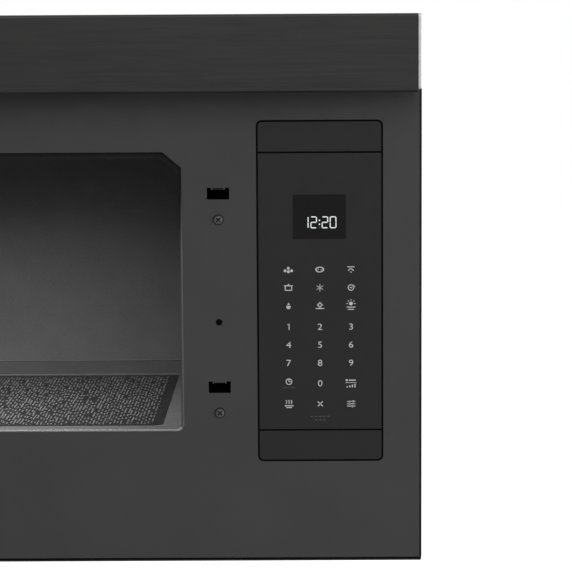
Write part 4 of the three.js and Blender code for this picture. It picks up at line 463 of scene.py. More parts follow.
def perforated(name, sheet, hole, pitch, radius):
    """A painted sheet on Y and Z with rows of round holes, every other row moved by half a pitch."""
    tree, shader = finish(name, specular=0.3)
    y, z = spot_axes(tree)[1:]
    step = sin(pi / 3)  # from row to row, as a share of the pitch
    row = math_of(tree, "DIVIDE", z, pitch * step * MM)
    odd = math_of(tree, "FLOORED_MODULO", math_of(tree, "FLOOR", row), 2.0)
    along = math_of(tree, "ADD", math_of(tree, "DIVIDE", y, pitch * MM), math_of(tree, "MULTIPLY", odd, 0.5))
    away = math_of(tree, "SUBTRACT", math_of(tree, "FRACT", along), 0.5)
    rise = math_of(tree, "MULTIPLY", math_of(tree, "SUBTRACT", math_of(tree, "FRACT", row), 0.5), step)
    squares = [math_of(tree, "MULTIPLY", side, side) for side in (away, rise)]
    reach = math_of(tree, "SQRT", math_of(tree, "ADD", *squares))
    opening = levels(tree, reach, 1, 0, radius / pitch - 0.05, radius / pitch + 0.05)
    tone = mixed(tree, opening, tint(tree, grain(tree, 12, detail=3), sheet, 0.08), (*hole, 1))
    surface(tree, shader, tone, levels(tree, grain(tree, 6), 0.45, 0.6), opening, -0.4)


board("circuit_board")
wound("copper", (0.42, 0.19, 0.09))
perforated("screen", (0.05, 0.05, 0.052), (0.004, 0.004, 0.004), 2.0, 0.62)
# painted shade: the black of joints, gaps, holes and the parts behind the latch slots, where no light comes
# out
coated("painted_shade_black", (0.004, 0.004, 0.004), 0.85, 0.8, 0.02, specular=0.02, change=0.2)
print(len(finishes), "finishes")

# %% [markdown]
# ## Dressing the solids
# The record names a finish for each solid. Where the real part carries something finer, such as the lens
# or the screen in the door, the list below says so. What lies behind the latch slots gets black paint that
# stands for the shade inside them. Only the material slot of a CAD solid changes.

# %% A finish on every solid
BEHIND_SLOTS = ("latch_bracket", "interlock_plunger_lower", "interlock_plunger_upper")
finer = {"lamp_lens": "lens_glass", "door_choke": "screen", "rear_panel": "frame_paint"}
finer |= {node: "painted_shade_black" for node in BEHIND_SLOTS}
slots = {part["node"]: part["material_slot"] for part in frame["record"]["subparts"]}
for name, solid in solids.items():
    solid.data.materials.clear()
    solid.data.materials.append(finishes[finer.get(name, slots[name])])
print(len(solids), "solids dressed")

# %% [markdown]
# ## Finishes of the small pieces
# Ink, screws, the painted shade of joints and recesses, and the painted highlights of the lip and beads are
# coats too.

# %% Inks, shades and screws
coated("key_ink", (0.62, 0.62, 0.61), 0.55, 0.4, 0.004, change=0.05, drift=3)
coated("dim_ink", (0.060, 0.060, 0.061), 0.55, 0.4, 0.004, change=0.08, drift=3)
coated("lit_digit", (0.75, 0.76, 0.77), 0.5, 0.4, 0.004, change=0.04, drift=3,
       Emission_Color=(0.9, 0.95, 1, 1), Emission_Strength=0.28)
coated("dark_screw", (0.060, 0.060, 0.061), 0.42, 0.6, 0.02, specular=0.4, change=0.2, drift=4)
# painted shade of the screw dish and of the cross recess
coated("dish_painted_shade", (0.020, 0.020, 0.020), 0.6, 0.8, 0.01, specular=0.1, change=0.2, drift=3)
coated("recess_painted_shade", (0.012, 0.012, 0.012), 0.5, 1.2, 0.01, specular=0.15, change=0.15)
coated("shadow_black", (0.014, 0.014, 0.014), 0.75, 1.2, 0.02, specular=0.08, change=0.2)
coated("roll_dark", (0.026, 0.026, 0.026), 0.5, 1.2, 0.01, specular=0.15, change=0.1)
# painted shade for the upper flange, which lies in the shade of the frame
coated("flange_painted_shade", (0.0112, 0.0112, 0.0112), 0.6, 1.2, 0.01, specular=0.10, change=0.15)
# the pale enamel of the lip is a painted highlight
coated("lip_painted_highlight", (0.265, 0.265, 0.265), 0.30, 1.5, 0.01, specular=0.4, change=0.1)
# enamel painted lighter than the wall as the highlight of the step's rounded edges
coated("bead_enamel_highlight", (0.155, 0.155, 0.155), 0.4, 1.2, 0.01, change=0.1)
print(len(finishes), "finishes in all")

# %% [markdown]
# ## Easing the edges
# CAD leaves every edge as sharp as a drawing, and no real edge is. Pressed sheet, glass and mouldings all
# turn the light over a fraction of a millimetre, and that bright line is what makes a part look solid.
# A copy of the CAD mesh is merged, its flat faces are joined again, and a bevel rounds what is left.
# The skin of the door keeps its triangles: its large face has holes, and joined it is split up badly.

# %% Helpers for the pieces
def alone(piece=None):
    """Deselects everything, then selects one piece and makes it the active one."""
    if bpy.context.object and bpy.context.object.mode != "OBJECT":
        bpy.ops.object.mode_set(mode="OBJECT")
    bpy.ops.object.select_all(action="DESELECT")
    if piece:
        piece.select_set(True)
        bpy.context.view_layer.objects.active = piece


def pick(piece, kind, where):
    """Selects the points, edges or faces that the test picks, and stays in edit mode."""
    alone(piece)
    bpy.ops.object.mode_set(mode="EDIT")
    bpy.ops.mesh.select_mode(type=kind)
    bpy.ops.mesh.select_all(action="DESELECT")
    bpy.ops.object.mode_set(mode="OBJECT")
    mesh = piece.data
    for part in {"VERT": mesh.vertices, "EDGE": mesh.edges, "FACE": mesh.polygons}[kind]:
        part.select = where(part)
    bpy.ops.object.mode_set(mode="EDIT")


def shifted(piece, where, move):
    """Moves the points that the test picks, by a step in millimetres."""
    pick(piece, "VERT", lambda point: where(point.co / MM))
    bpy.ops.transform.translate(value=[c * MM for c in move])
    bpy.ops.object.mode_set(mode="OBJECT")


def ease(piece, width, segments=3):
    """Rounds the sharp edges by width millimetres."""
    alone(piece)
    bevel = piece.modifiers.new("eased_edges", "BEVEL")
    bevel.width, bevel.segments = width * MM, segments
    bevel.limit_method, bevel.angle_limit = "ANGLE", radians(40)
    bevel.miter_outer = "MITER_ARC"
    bpy.ops.object.modifier_apply(modifier=bevel.name)
    bpy.ops.object.shade_smooth_by_angle(angle=radians(50))
    flats = piece.modifiers.new("flat_faces", "WEIGHTED_NORMAL")
    flats.keep_sharp = True
    bpy.ops.object.modifier_apply(modifier=flats.name)
    return piece


def hand_over(piece, finish_name, body="cabinet", *nodes):
    """Gives a piece its finish, its body and its slot, and says which solids it stands for."""
    piece.data.materials.clear()
    piece.data.materials.append(finishes[finish_name])
    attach(piece, body)
    if nodes:
        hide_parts(*nodes)
    return piece


def two_tone(piece, finish_name, where):
    """Gives the faces that the test picks, by middle in millimetres and normal, a second finish."""
    piece.data.materials.append(finishes[finish_name])
    for face in piece.data.polygons:
        if where(face.center / MM, face.normal):
            face.material_index = len(piece.data.materials) - 1


def eased_copy(node, width, shape=lambda piece: None, flats=True):
    """A copy of a solid, reshaped if asked and with rounded edges, which is shown in its place."""
    solid = solids[node]
    piece = solid.copy()
    piece.data = solid.data.copy()
    piece.name = node + "_eased"
    piece.parent = None
    for key in list(piece.keys()):
        del piece[key]
    bpy.context.scene.collection.objects.link(piece)
    alone(piece)
    bpy.ops.object.mode_set(mode="EDIT")
    bpy.ops.mesh.select_all(action="SELECT")
    bpy.ops.mesh.remove_doubles(threshold=0.00001)
    if flats:
        bpy.ops.mesh.dissolve_limited(angle_limit=radians(1))
    bpy.ops.object.mode_set(mode="OBJECT")
    shape(piece)
    return hand_over(ease(piece, width), finer.get(node, slots[node]), solid["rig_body"], node)


edge_widths = {
    "front_frame": 0.5, "panel_cap_lower": 0.35, "touch_glass": 0.35, "panel_cap_upper": 0.35,
    "bottom_pan": 0.6, "lamp_lens": 0.8, "door_skin": 0.5, "door_glass": 0.4, "touch_strip": 0.3,
    "door_inner_panel": 1.0, "inner_glass": 0.4, "door_handle": 1.5, "latch_bar": 0.3, "damper_frame": 0.5,
    "cord_grommet": 0.7, "wrapper": 0.4, "oven_lamp": 0.5,
}
for node, width in edge_widths.items():
    made = eased_copy(node, width, flats=node != "door_skin")
    print(made.name, len(made.data.polygons), "faces")

# %% [markdown]
# ## Small pieces from primitives
# Edge shade, screws and print start as a cube, a plate or a disc that is added at its size and place, and are
# then shaped in edit mode. Each is finished with its place in its mesh and its object at the origin.

# %% Primitive helpers
FACE = round(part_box("front_frame")[0].y / MM, 1)  # the painted front, which the edge shade and the print lie on


def settled(name):
    """Names the new piece and moves its place, turn and scale into its mesh."""
    bpy.ops.object.transform_apply()
    piece = bpy.context.object
    piece.name = name
    return piece


def slab(name, low, high, turn=0.0):
    """A block between two corners in millimetres, turned about Y by some degrees."""
    alone()
    middle = [(a + b) / 2 * MM for a, b in zip(low, high)]
    bpy.ops.mesh.primitive_cube_add(size=1, location=middle, rotation=(0, radians(turn), 0))
    bpy.context.object.scale = [(b - a) * MM for a, b in zip(low, high)]
    return settled(name)


def pin(name, x, z, front, back, radius, sides=40):
    """A round pin that points at the viewer, between its front and its back."""
    alone()
    place = (x * MM, (front + back) / 2 * MM, z * MM)
    bpy.ops.mesh.primitive_cylinder_add(vertices=sides, radius=radius * MM, depth=(back - front) * MM,
                                        location=place, rotation=(radians(90), 0, 0))
    return settled(name)


def round_upright(piece, axis, width, segments=6, keep=lambda v: True):
    """Rounds the edges that run along one axis, as the corners of a plate."""
    def along_axis(edge):
        a, b = (piece.data.vertices[i].co for i in edge.vertices)
        return abs((b - a).normalized()[axis]) > 0.99 and keep((a + b) / 2 / MM)

    pick(piece, "EDGE", along_axis)
    bpy.ops.mesh.bevel(offset=width * MM, segments=segments)
    bpy.ops.object.mode_set(mode="OBJECT")
    return piece


def carve(piece, cutter):
    """Cuts one piece out of another and throws the cutter away."""
    alone(piece)
    cut = piece.modifiers.new("carved", "BOOLEAN")
    cut.operation, cut.object, cut.solver = "DIFFERENCE", cutter, "EXACT"
    bpy.ops.object.modifier_apply(modifier=cut.name)
    bpy.data.objects.remove(cutter)
    return piece


def merged(name, pieces):
    """Joins pieces into one."""
    alone(pieces[0])
    for piece in pieces:
        piece.select_set(True)
    bpy.ops.object.join()
    pieces[0].name = name
    return pieces[0]


print("primitive helpers ready, face at", FACE)

# %% [markdown]
# ## The vent strip
# The strip over the door is a folded sheet with a nearly square foot, and its two upper corners are round.
# Its ends draw in under two bright caps, which stop a little above the foot. So these three are copies with
# a few points moved before their edges are eased. A thin dark line under the foot is the shade of the fold.

# %% Strip and end caps
CAP_LAP, CAP_LIFT = 0.65, 1.9  # how far each cap reaches in over the strip, and its foot's height above it
FOOT_SQUARED = (0, -1.95, 1.0)  # takes nearly all of the slope out of the strip's foot
STRIP_CORNER = 2.3


def squared(strip):
    """Turns the strip's foot nearly square, draws its ends in under the caps and rounds its upper corners."""
    shifted(strip, lambda v: v.z < 174 and -449 < v.y < -447, FOOT_SQUARED)
    for side in (1, -1):
        shifted(strip, lambda v: side * v.x > 374, (side * -CAP_LAP, 0, 0))
    round_upright(strip, 1, STRIP_CORNER, 5, keep=lambda v: abs(v.x) > 374.4 and v.z > 232.5)


def lapped(cap):
    """Ends a cap a little above the foot of the strip and lets it reach further in."""
    shifted(cap, lambda v: v.z < 203, (0, 0, CAP_LIFT))
    for side in (1, -1):
        shifted(cap, lambda v: 375 < side * v.x < 376.2, (side * -CAP_LAP, 0, 0))


strip = eased_copy("front_strip", 0.4, shape=squared)
for node in ("strip_cap_right", "strip_cap_left"):
    cap = eased_copy(node, 0.5, shape=lapped)
    print(cap.name, "ends at", round(min(corner[2] for corner in cap.bound_box) / MM, 1))
foot_line = slab("strip_foot_line", (-374.6, -450.1, 173.3), (374.6, -448.2, 174.6))
hand_over(ease(foot_line, 0.1, 2), "shadow_black")
print(strip.name, "and two caps")

# %% [markdown]
# ## Cavity liner and ceramic plate
# At the back of the real oven the floor ends in a low step that hardly stands out from the wall. The copies
# of the liner and the plate carry the step nearly back to the wall, and the wall a little further. The front
# flange of the liner lies in the shade of the frame at the top, so that shade is painted on its upper part
# as a thin dark coat.

# %% Liner and plate
STEP_BACK, WALL_BACK = 18.9, 8.0  # how far the step with the end of the plate, and the wall, go back
PLATE_FRONT, PLATE_BACK, STEP_TOP = -382.0, -113.5, -81.6
SHADE_FOOT = 64  # where the painted shade on the flange ends


def stepped_back(liner):
    """Moves the step's face back and its top edge down, and parts the flange where its painted shade ends."""
    shifted(liner, lambda v: -80 < v.z < -78.5 and v.y > -131.5, (0, 0, STEP_TOP + 79.2))
    shifted(liner, lambda v: v.y > -119, (0, WALL_BACK, 0))
    shifted(liner, lambda v: -141 < v.y < -119, (0, STEP_BACK, 0))
    alone(liner)
    bpy.ops.object.mode_set(mode="EDIT")
    bpy.ops.mesh.select_all(action="SELECT")
    bpy.ops.mesh.bisect(plane_co=(0, 0, SHADE_FOOT * MM), plane_no=(0, 0, 1))
    bpy.ops.object.mode_set(mode="OBJECT")


def reaching_under(plate):
    """Carries both ends of the plate out under its rim and lifts its face clear of the liner."""
    shifted(plate, lambda v: v.y > -145, (0, STEP_BACK, 0))
    shifted(plate, lambda v: v.y < -360, (0, -7.5, 0))
    shifted(plate, lambda v: v.z > -96, (0, 0, 0.15))


liner = eased_copy("cavity_liner", 0.4, shape=stepped_back)
# the upper front of the flange gets painted shade
two_tone(liner, "flange_painted_shade", lambda v, n: v.y < -396.5 and v.z > SHADE_FOOT and (n.y < -0.3 or v.y < -398))
two_tone(liner, "step_enamel", lambda v, n: -112 < v.y < -109.5 and v.z < -82 and n.y < -0.9)
plate = eased_copy("floor_plate", 0.1, shape=reaching_under)
print(len(liner.data.polygons), "faces in the liner,", len(plate.data.polygons), "in the plate")

# %% [markdown]
# ## Painted edge shade
# The painted front turns away from the light at both sides, and below it lies a gap to the rolled edge of the
# underside. Thin dark strips paint the shade of both edges and of the gap, each laid on the sheet beside it.

# %% Painted edge shade
EDGE_SHADE_INNER, EDGE_SHADE_OUTER = 378.3, 380.1  # from the middle of the oven to both edges of a strip of painted edge shade
SKIRT_FOOT, GAP_FOOT, ROLL_FOOT = -197.8, -199.1, -200.3  # the painted edge, the gap and the roll below it
strip_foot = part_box("front_strip")[0].z / MM
for side, name in ((1, "edge_trim_right"), (-1, "edge_trim_left")):
    near, far = sorted((side * EDGE_SHADE_INNER, side * EDGE_SHADE_OUTER))
    shade_strip = slab(name, (near, FACE - 0.2, -197.6), (far, -392, strip_foot + 1.4))
    hand_over(ease(shade_strip, 0.5), "shadow_black")
skirt = slab("frame_skirt", (-EDGE_SHADE_INNER, FACE - 0.05, SKIRT_FOOT), (EDGE_SHADE_INNER, FACE + 1.4, -196.2))
hand_over(ease(skirt, 0.2), "frame_paint")
# the black of the gap under the painted front is painted shade
gap = slab("underside_gap", (-379.9, FACE - 0.3, GAP_FOOT), (379.9, FACE + 1, SKIRT_FOOT))
hand_over(ease(gap, 0.1), "painted_shade_black")
roll = slab("underside_roll", (-379.6, FACE - 0.35, ROLL_FOOT), (379.6, -399, GAP_FOOT - 0.1))
hand_over(ease(roll, 0.5, 4), "roll_dark")
print("trims on both sides and below")

# %% [markdown]
# ## Cavity lip and plate rim
# The enamelled lip round the foot of the oven's opening is where dishes slide in, and it catches the light.
# A bead painted pale as that highlight follows it along the floor and round the corners, and a darker one
# goes on up each side, with painted shade towards its top.
# The ceramic plate lies in a raised enamel rim, made as a slab with a rounded window carved in it.

# %% Cavity lip
LIP_Y, LIP_LEFT, LIP_RIGHT, LIP_LOW, LIP_TURN = FACE + 0.1, -317.5, 191.2, -94.5, 5.2
LIP_ROUND, JAMB_TOP = 0.85, 96


def bead(name, points, radius):
    """A round bead along points in millimetres, made as a curve and turned into a mesh."""
    curve = bpy.data.curves.new(name, "CURVE")
    curve.dimensions, curve.bevel_depth, curve.bevel_resolution = "3D", radius * MM, 3
    curve.use_fill_caps = True
    run = curve.splines.new("POLY")
    run.points.add(len(points) - 1)
    for knot, place in zip(run.points, points):
        knot.co = (*[c * MM for c in place], 1)
    piece = bpy.data.objects.new(name, curve)
    bpy.context.scene.collection.objects.link(piece)
    alone(piece)
    bpy.ops.object.convert(target="MESH")
    bpy.ops.object.shade_smooth_by_angle(angle=radians(50))
    return bpy.context.object


corner = [(LIP_RIGHT - LIP_TURN * (1 - sin(a)), LIP_Y, LIP_LOW + LIP_TURN * (1 - cos(a)))
          for a in (i * pi / 16 for i in range(9))]
opposite = [(LIP_LEFT + LIP_RIGHT - x, y, z) for x, y, z in reversed(corner)]
# the lip bead's pale colour is a painted highlight
hand_over(bead("cavity_lip", [*opposite[3:], *corner[:6]], LIP_ROUND), "lip_painted_highlight")
# the jamb beads are painted darker towards the top, where the frame shades them
for side, turn in (("right", corner[5:]), ("left", opposite[3::-1])):
    jamb = bead("cavity_jamb_" + side, [*turn, (turn[-1][0], LIP_Y, JAMB_TOP)], LIP_ROUND)
    hand_over(jamb, "jamb_enamel_painted_shade")
# the step beads are fillets painted lighter than the wall as a highlight
for name, y, z in (("step_bead", -110.4, STEP_TOP), ("step_foot_bead", -110.9, LIP_LOW)):
    hand_over(bead(name, [(-315.8, y, z), (189.4, y, z)], 0.45), "bead_enamel_highlight")

rim = slab("plate_rim", (-315.9, -398.5, -95.3), (189.5, -110.3, -94.7))
window = slab("window", (-302, PLATE_FRONT, -97), (173.7, PLATE_BACK, -93))
carve(rim, round_upright(window, 2, 9, keep=lambda v: v.y < -200))
hand_over(ease(rim, 0.2, 2), "rim_enamel")
print("lip, jambs, beads and rim")

# %% [markdown]
# ## Latch screws
# Two pan-head screws hold the latch bracket. The cross is carved by two blades turned 45 degrees, as the
# photograph shows it, and its recess is painted dark as shade. Each head sits in a shallow dish whose shade
# is painted as a dark ring.

# %% Latch screws
HEAD_ROUND, HEAD_HIGH, SHANK_ROUND, DISH_ROUND = 3.5, 2.2, 1.9, 4.4  # radii, and the height of the head
CROSS = Vector((4.6, 1.8, 1.15))  # one arm of the cross: long, deep and wide


def latch_screw(node):
    """A pan head with a cross recess on a dark ring, over the CAD screw; the recess and the ring are painted
    shade.
    """
    def in_cross(place, normal):
        return low.y + 0.3 < place.y < low.y + 1.6 and (place - middle).xz.length < 2.7

    low, high = (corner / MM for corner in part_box(node))
    x, z = (low.x + high.x) / 2, (low.z + high.z) / 2
    shank = ease(pin("shank", x, z, low.y + 2.1, high.y, SHANK_ROUND, 24), 0.3)
    head = ease(pin("head", x, z, low.y, low.y + HEAD_HIGH, HEAD_ROUND), 1.0, 4)
    middle = Vector((x, low.y + 0.4, z))
    for turn in (45, -45):
        carve(head, slab("blade", middle - CROSS / 2, middle + CROSS / 2, turn))
    alone(head)
    bpy.ops.object.shade_smooth_by_angle(angle=radians(35))
    head = hand_over(merged(node + "_head", [head, shank]), "dark_screw", "cabinet", node)
    # the cross recess gets painted shade
    two_tone(head, "recess_painted_shade", in_cross)
    # the dark ring is the dish's painted shade
    dish = pin(node + "_dish", x, z, FACE - 0.09, FACE + 0.03, DISH_ROUND)
    hand_over(ease(dish, 0.04, 1), "dish_painted_shade")
    return head


for node in ("latch_screw_lower", "latch_screw_upper"):
    print(latch_screw(node).name)

# %% [markdown]
# ## Gaps, slots and the peep hole
# A joint round a keypad reads as a black line, because light that falls in doesn't come out. That shade is
# painted here on a thin black band, with one bar at each end of the touch glass. The latch slots and the
# small hole between them are painted just as black, and the tongue in the upper slot is painted dim with
# shade.

# %% Joint shade, tongues and peep hole
JOINT_SHADE_LEFT, JOINT_SHADE_RIGHT, JOINT_SHADE_FOOT, JOINT_SHADE_TOP, JOINT_SHADE_WIDE = 250.3, 349.8, -119.9, 150.7, 1.45
JOINTS, JOINT_WIDE = (125.3, -94.7), 1.24  # the level joints at both ends of the touch glass
SLOT_X, PEEP_Z, PEEP_ROUND = 220.4, -8.3, 2.6  # the line on which slots and peep hole lie

joint_shade = slab("keypad_joint_shade", (JOINT_SHADE_LEFT, FACE - 0.06, JOINT_SHADE_FOOT), (JOINT_SHADE_RIGHT, FACE + 1.3, JOINT_SHADE_TOP))
opening = slab("opening", (JOINT_SHADE_LEFT + JOINT_SHADE_WIDE, FACE - 2, JOINT_SHADE_FOOT + JOINT_SHADE_WIDE),
               (JOINT_SHADE_RIGHT - JOINT_SHADE_WIDE, FACE + 3, JOINT_SHADE_TOP - JOINT_SHADE_WIDE))
carve(round_upright(joint_shade, 1, 4.6), round_upright(opening, 1, 3.5))
joints = [slab("joint", (251.6, FACE - 0.03, z - JOINT_WIDE / 2), (348.5, FACE + 1.3, z + JOINT_WIDE / 2))
          for z in JOINTS]
hand_over(ease(merged("keypad_joint_shade", [joint_shade, *joints]), 0.04, 1), "painted_shade_black")

for name, top, foot, finish_name in (("slot_tongue_upper", 97.9, 96.15, "shadow_black"),
                                     ("slot_tongue_lower", -56.4, -57.4, "painted_shade_black")):
    tongue = slab(name, (SLOT_X - 4.4, FACE - 0.06, foot), (SLOT_X + 4.4, FACE + 1.4, top))
    hand_over(ease(tongue, 0.2, 2), finish_name)

peep = pin("peep_hole", SLOT_X, PEEP_Z, FACE - 0.095, FACE + 0.055, PEEP_ROUND)
pick(peep, "FACE", lambda face: face.normal.y < -0.9)
bpy.ops.mesh.inset(thickness=0.4 * MM)
bpy.ops.mesh.extrude_region_move(TRANSFORM_OT_translate={"value": (0, 0.12 * MM, 0)})
bpy.ops.object.mode_set(mode="OBJECT")
hand_over(ease(peep, 0.03, 1), "painted_shade_black")
print("seal, tongues and peep hole")

# %% [markdown]
# ## Print
# Everything printed or lit is drawn flat on the painted face from four shapes: bars, discs, rings and text.
# The shapes of one ink are then joined, lifted where something else lies under them, and given a thickness.

# %% Flat shapes and ink
UPRIGHT = (radians(90), 0, 0)  # turns what is added flat to face the viewer
LINE = 0.75  # the width of a line in a sign
INK_THICK = 0.08
FIGURE_WIDER = 1.14  # the printed figures are this much wider than those of the font


def bar(x, z, wide, high, turn=0.0, corner=0.35):
    """A flat bar with rounded corners, turned clockwise by some degrees."""
    place = (x * MM, FACE * MM, z * MM)
    alone()
    bpy.ops.mesh.primitive_plane_add(size=1, location=place, rotation=UPRIGHT)
    bpy.context.object.scale = (wide * MM, high * MM, 1)
    piece = settled("bar")
    bpy.ops.object.mode_set(mode="EDIT")
    bpy.ops.mesh.select_all(action="SELECT")
    if turn:
        bpy.ops.transform.rotate(value=radians(turn), orient_axis="Y", center_override=place)
    bpy.ops.mesh.bevel(offset=corner * min(wide, high) * MM, segments=3, affect="VERTICES")
    bpy.ops.object.mode_set(mode="OBJECT")
    return piece


def dot(x, z, radius, sides=20):
    """A disc, or a wedge that points up where it has three sides."""
    alone()
    bpy.ops.mesh.primitive_circle_add(vertices=sides, radius=radius * MM, fill_type="NGON",
                                      location=(x * MM, FACE * MM, z * MM), rotation=UPRIGHT)
    return settled("dot")


def ring(x, z, radius, line=0.7, sides=24):
    """A ring, as wide as its line."""
    disc = dot(x, z, radius, sides)
    bpy.ops.object.mode_set(mode="EDIT")
    bpy.ops.mesh.select_all(action="SELECT")
    bpy.ops.mesh.inset(thickness=line * MM)
    bpy.ops.mesh.delete(type="FACE")
    bpy.ops.object.mode_set(mode="OBJECT")
    return disc


def figure(text, x, z, high=4.95):
    """One figure, as high as asked and centred. A one is drawn with a flag and a plain stem."""
    if text == "1":
        flag = bar(x - 0.4, z + high * 0.36, 1.7, 0.62, -38)
        return merged("one", [bar(x + 0.35, z, 0.66, high, corner=0.1), flag])
    alone()
    bpy.ops.object.text_add(location=(0, 0, 0))
    bpy.context.object.data.body = text
    bpy.context.object.data.resolution_u = 4
    bpy.ops.object.convert(target="MESH")
    glyph = bpy.context.object
    middle = sum((Vector(c) for c in glyph.bound_box), Vector()) / 8
    size = high * MM / glyph.dimensions.y
    sized = Matrix.Diagonal((FIGURE_WIDER * size, size, size, 1)) @ Matrix.Translation(-middle)
    place = Matrix.Translation((x * MM, FACE * MM, z * MM))
    glyph.matrix_world = place @ Matrix.Rotation(UPRIGHT[0], 4, "X") @ sized
    return settled("figure")


def inked(name, shapes, lift=0.0):
    """Joins flat shapes, lifts them off the face and gives the ink its thickness."""
    ink = merged(name, shapes)
    bpy.ops.object.mode_set(mode="EDIT")
    bpy.ops.mesh.select_all(action="SELECT")
    bpy.ops.transform.translate(value=(0, -lift * MM, 0))
    bpy.ops.mesh.extrude_region_move(TRANSFORM_OT_translate={"value": (0, -INK_THICK * MM, 0)})
    bpy.ops.mesh.select_all(action="SELECT")
    bpy.ops.mesh.normals_make_consistent(inside=False)
    bpy.ops.object.mode_set(mode="OBJECT")
    return ink


print("four shapes to print with")

# %% [markdown]
# ## Clock window and digits
# The window is a glossier patch printed under the touch glass, and the clock is a row of lit segments.
# One digit is seven strokes. A stroke is a small bar whose corners are rounded, and every digit picks
# the strokes that it needs, so any time could be shown.

# %% Clock
STROKE, DIGIT_HIGH, CLOCK_Z, COLON_X = 0.84, 8.6, 70.35, 299.8
WINDOW_LIFT = 0.1  # how far the window stands out from the face
strokes = {  # where each stroke lies in a digit one wide and one high: across, up, and whether it is level
    "top": (0, 0.5, True), "middle": (0, 0, True), "bottom": (0, -0.5, True),
    "upper_left": (-0.5, 0.25, False), "upper_right": (0.5, 0.25, False),
    "lower_left": (-0.5, -0.25, False), "lower_right": (0.5, -0.25, False),
}
shown_strokes = {
    "0": ["top", "bottom", "upper_left", "upper_right", "lower_left", "lower_right"],
    "1": ["upper_right", "lower_right"],
    "2": ["top", "upper_right", "middle", "lower_left", "bottom"],
}


def clock_digit(text, x, wide=4.4):
    """The lit strokes of one digit."""
    lit = []
    for name in shown_strokes[text]:
        across, up, level = strokes[name]
        size = (wide - 0.5, STROKE) if level else (STROKE, DIGIT_HIGH / 2 - 0.3)
        lit.append(bar(x + across * wide, CLOCK_Z + up * DIGIT_HIGH, *size, corner=0.42))
    return lit


window = slab("display_window", (278.8, FACE - WINDOW_LIFT, 57.2), (320.6, FACE + 0.3, 92.2))
hand_over(ease(round_upright(window, 1, 0.7), 0.04, 1), "display_glass")
clock = clock_digit("1", 288.7) + clock_digit("2", 295.3) + clock_digit("2", 304.1)
clock += clock_digit("0", 310.5, wide=4.5) + [dot(COLON_X, z, 0.6) for z in (71.9, 68.9)]
hand_over(inked("clock_digits", clock, WINDOW_LIFT), "lit_digit")
hand_over(inked("clock_point", [dot(COLON_X, 66.2, 0.5)], WINDOW_LIFT), "dim_ink")
print(len(clock), "strokes and points")

# %% [markdown]
# ## Signs of the keys
# The figures are text turned into a mesh. The other keys have plain pictograms of one size: a pot,
# a snowflake, a clock face, sliders and so on, each drawn round its middle in millimetres.

# %% Signs of the keys
def kernels(x, z):
    return [dot(x + a, z + b, 1.15, 14) for a, b in ((-2.6, -0.9), (0, 1.1), (2.6, -0.9), (0, -1.6))]


def tuber(x, z):
    shell = ring(x, z, 2.3)
    bpy.ops.transform.resize(value=(1.5, 1, 1), center_override=(x * MM, FACE * MM, z * MM))
    return [settled("shell"), dot(x - 1.2, z + 0.4, 0.45), dot(x + 1.1, z - 0.4, 0.45)]


def root_crop(x, z):
    leaves = [bar(x - 1, z, 3.2, LINE, 38), bar(x + 0.98, z, 3.2, LINE, -38)]
    return [*leaves, bar(x, z + 2, 5.6, LINE), bar(x, z - 2.1, 1.2, LINE)]


def pot(x, z):
    sides = [bar(x + a, z - 0.4, LINE, 3.6) for a in (-2.5, 2.5)]
    return [*sides, bar(x, z - 2, 5, LINE), bar(x, z + 1.6, 7, LINE), dot(x, z + 2.6, 0.6)]


def snowflake(x, z):
    tips = [dot(x + 2.1 * cos(a), z + 2.1 * sin(a), 0.55, 8) for a in (i * pi / 3 + pi / 6 for i in range(6))]
    return tips + [bar(x, z, 6, 0.7, turn) for turn in (30, 90, 150)]


def round_again(x, z):
    return [ring(x, z, 2.5), dot(x + 2.2, z + 1.0, 1.4, 3), bar(x, z, 1.8, 0.7)]


def drop(x, z):
    return [dot(x, z - 0.9, 1.7), dot(x, z + 0.9, 1.75, 3)]


def block_on_plate(x, z):
    return [ring(x, z + 0.6, 2.4, 0.8, 4), bar(x, z - 2.2, 7, LINE)]


def sun_over_waves(x, z):
    rays = [bar(x + 3 * cos(a), z + 1.6 + 3 * sin(a), 1.2, 0.6, -a * 180 / pi)
            for a in (i * pi / 4 for i in range(5))]
    return [dot(x, z + 1.6, 1.5), *rays, bar(x, z - 1.2, 7, 0.7), bar(x, z - 3, 5, 0.7)]


def clock_face(x, z):
    z += 1.4
    return [ring(x, z, 2.6), bar(x, z + 0.8, 0.7, 1.8), bar(x + 0.7, z, 1.6, 0.7)]


def slider_over_steps(x, z):
    steps = [bar(x - 3 + 2 * i, z - 3.4 + high / 2, 0.95, high, corner=0.1)
             for i, high in enumerate((0.9, 1.55, 2.2, 2.85))]
    return [*steps, bar(x, z + 0.4, 9, 0.4), bar(x + 0.9, z + 2.4, 5.6, 0.9), dot(x - 3.4, z + 2.4, 0.9)]


def steam(x, z):
    z += 0.6
    plumes = [bar(x + a, z + b, 0.7, 1.9, turn) for a in (-2, 0, 2) for b, turn in ((1.7, 25), (0.3, -25))]
    return [*plumes, bar(x, z - 2.0, 7, LINE), bar(x, z - 3.4, 4.4, LINE)]


def crossed(x, z):
    return [bar(x, z, 5.6, 0.8, turn) for turn in (45, -45)]


def sliders(x, z):
    lines = [bar(x, z + level, 6.6, 0.6) for level in (-1.9, 0, 1.9)]
    return lines + [dot(x + a, z + b, 0.9, 12) for a, b in ((1.6, 1.9), (-1.4, 0), (0.8, -1.9))]


def digit(text):
    """A key's sign that is a figure."""
    return lambda x, z: [figure(text, x, z)]


print("signs ready")

# %% [markdown]
# ## Keypad
# The columns and rows are where the camera fit puts them on the glass. A table says which sign each key has,
# and all of them are joined into one piece of ink. Below them two rows of short bars are hardly to be seen.

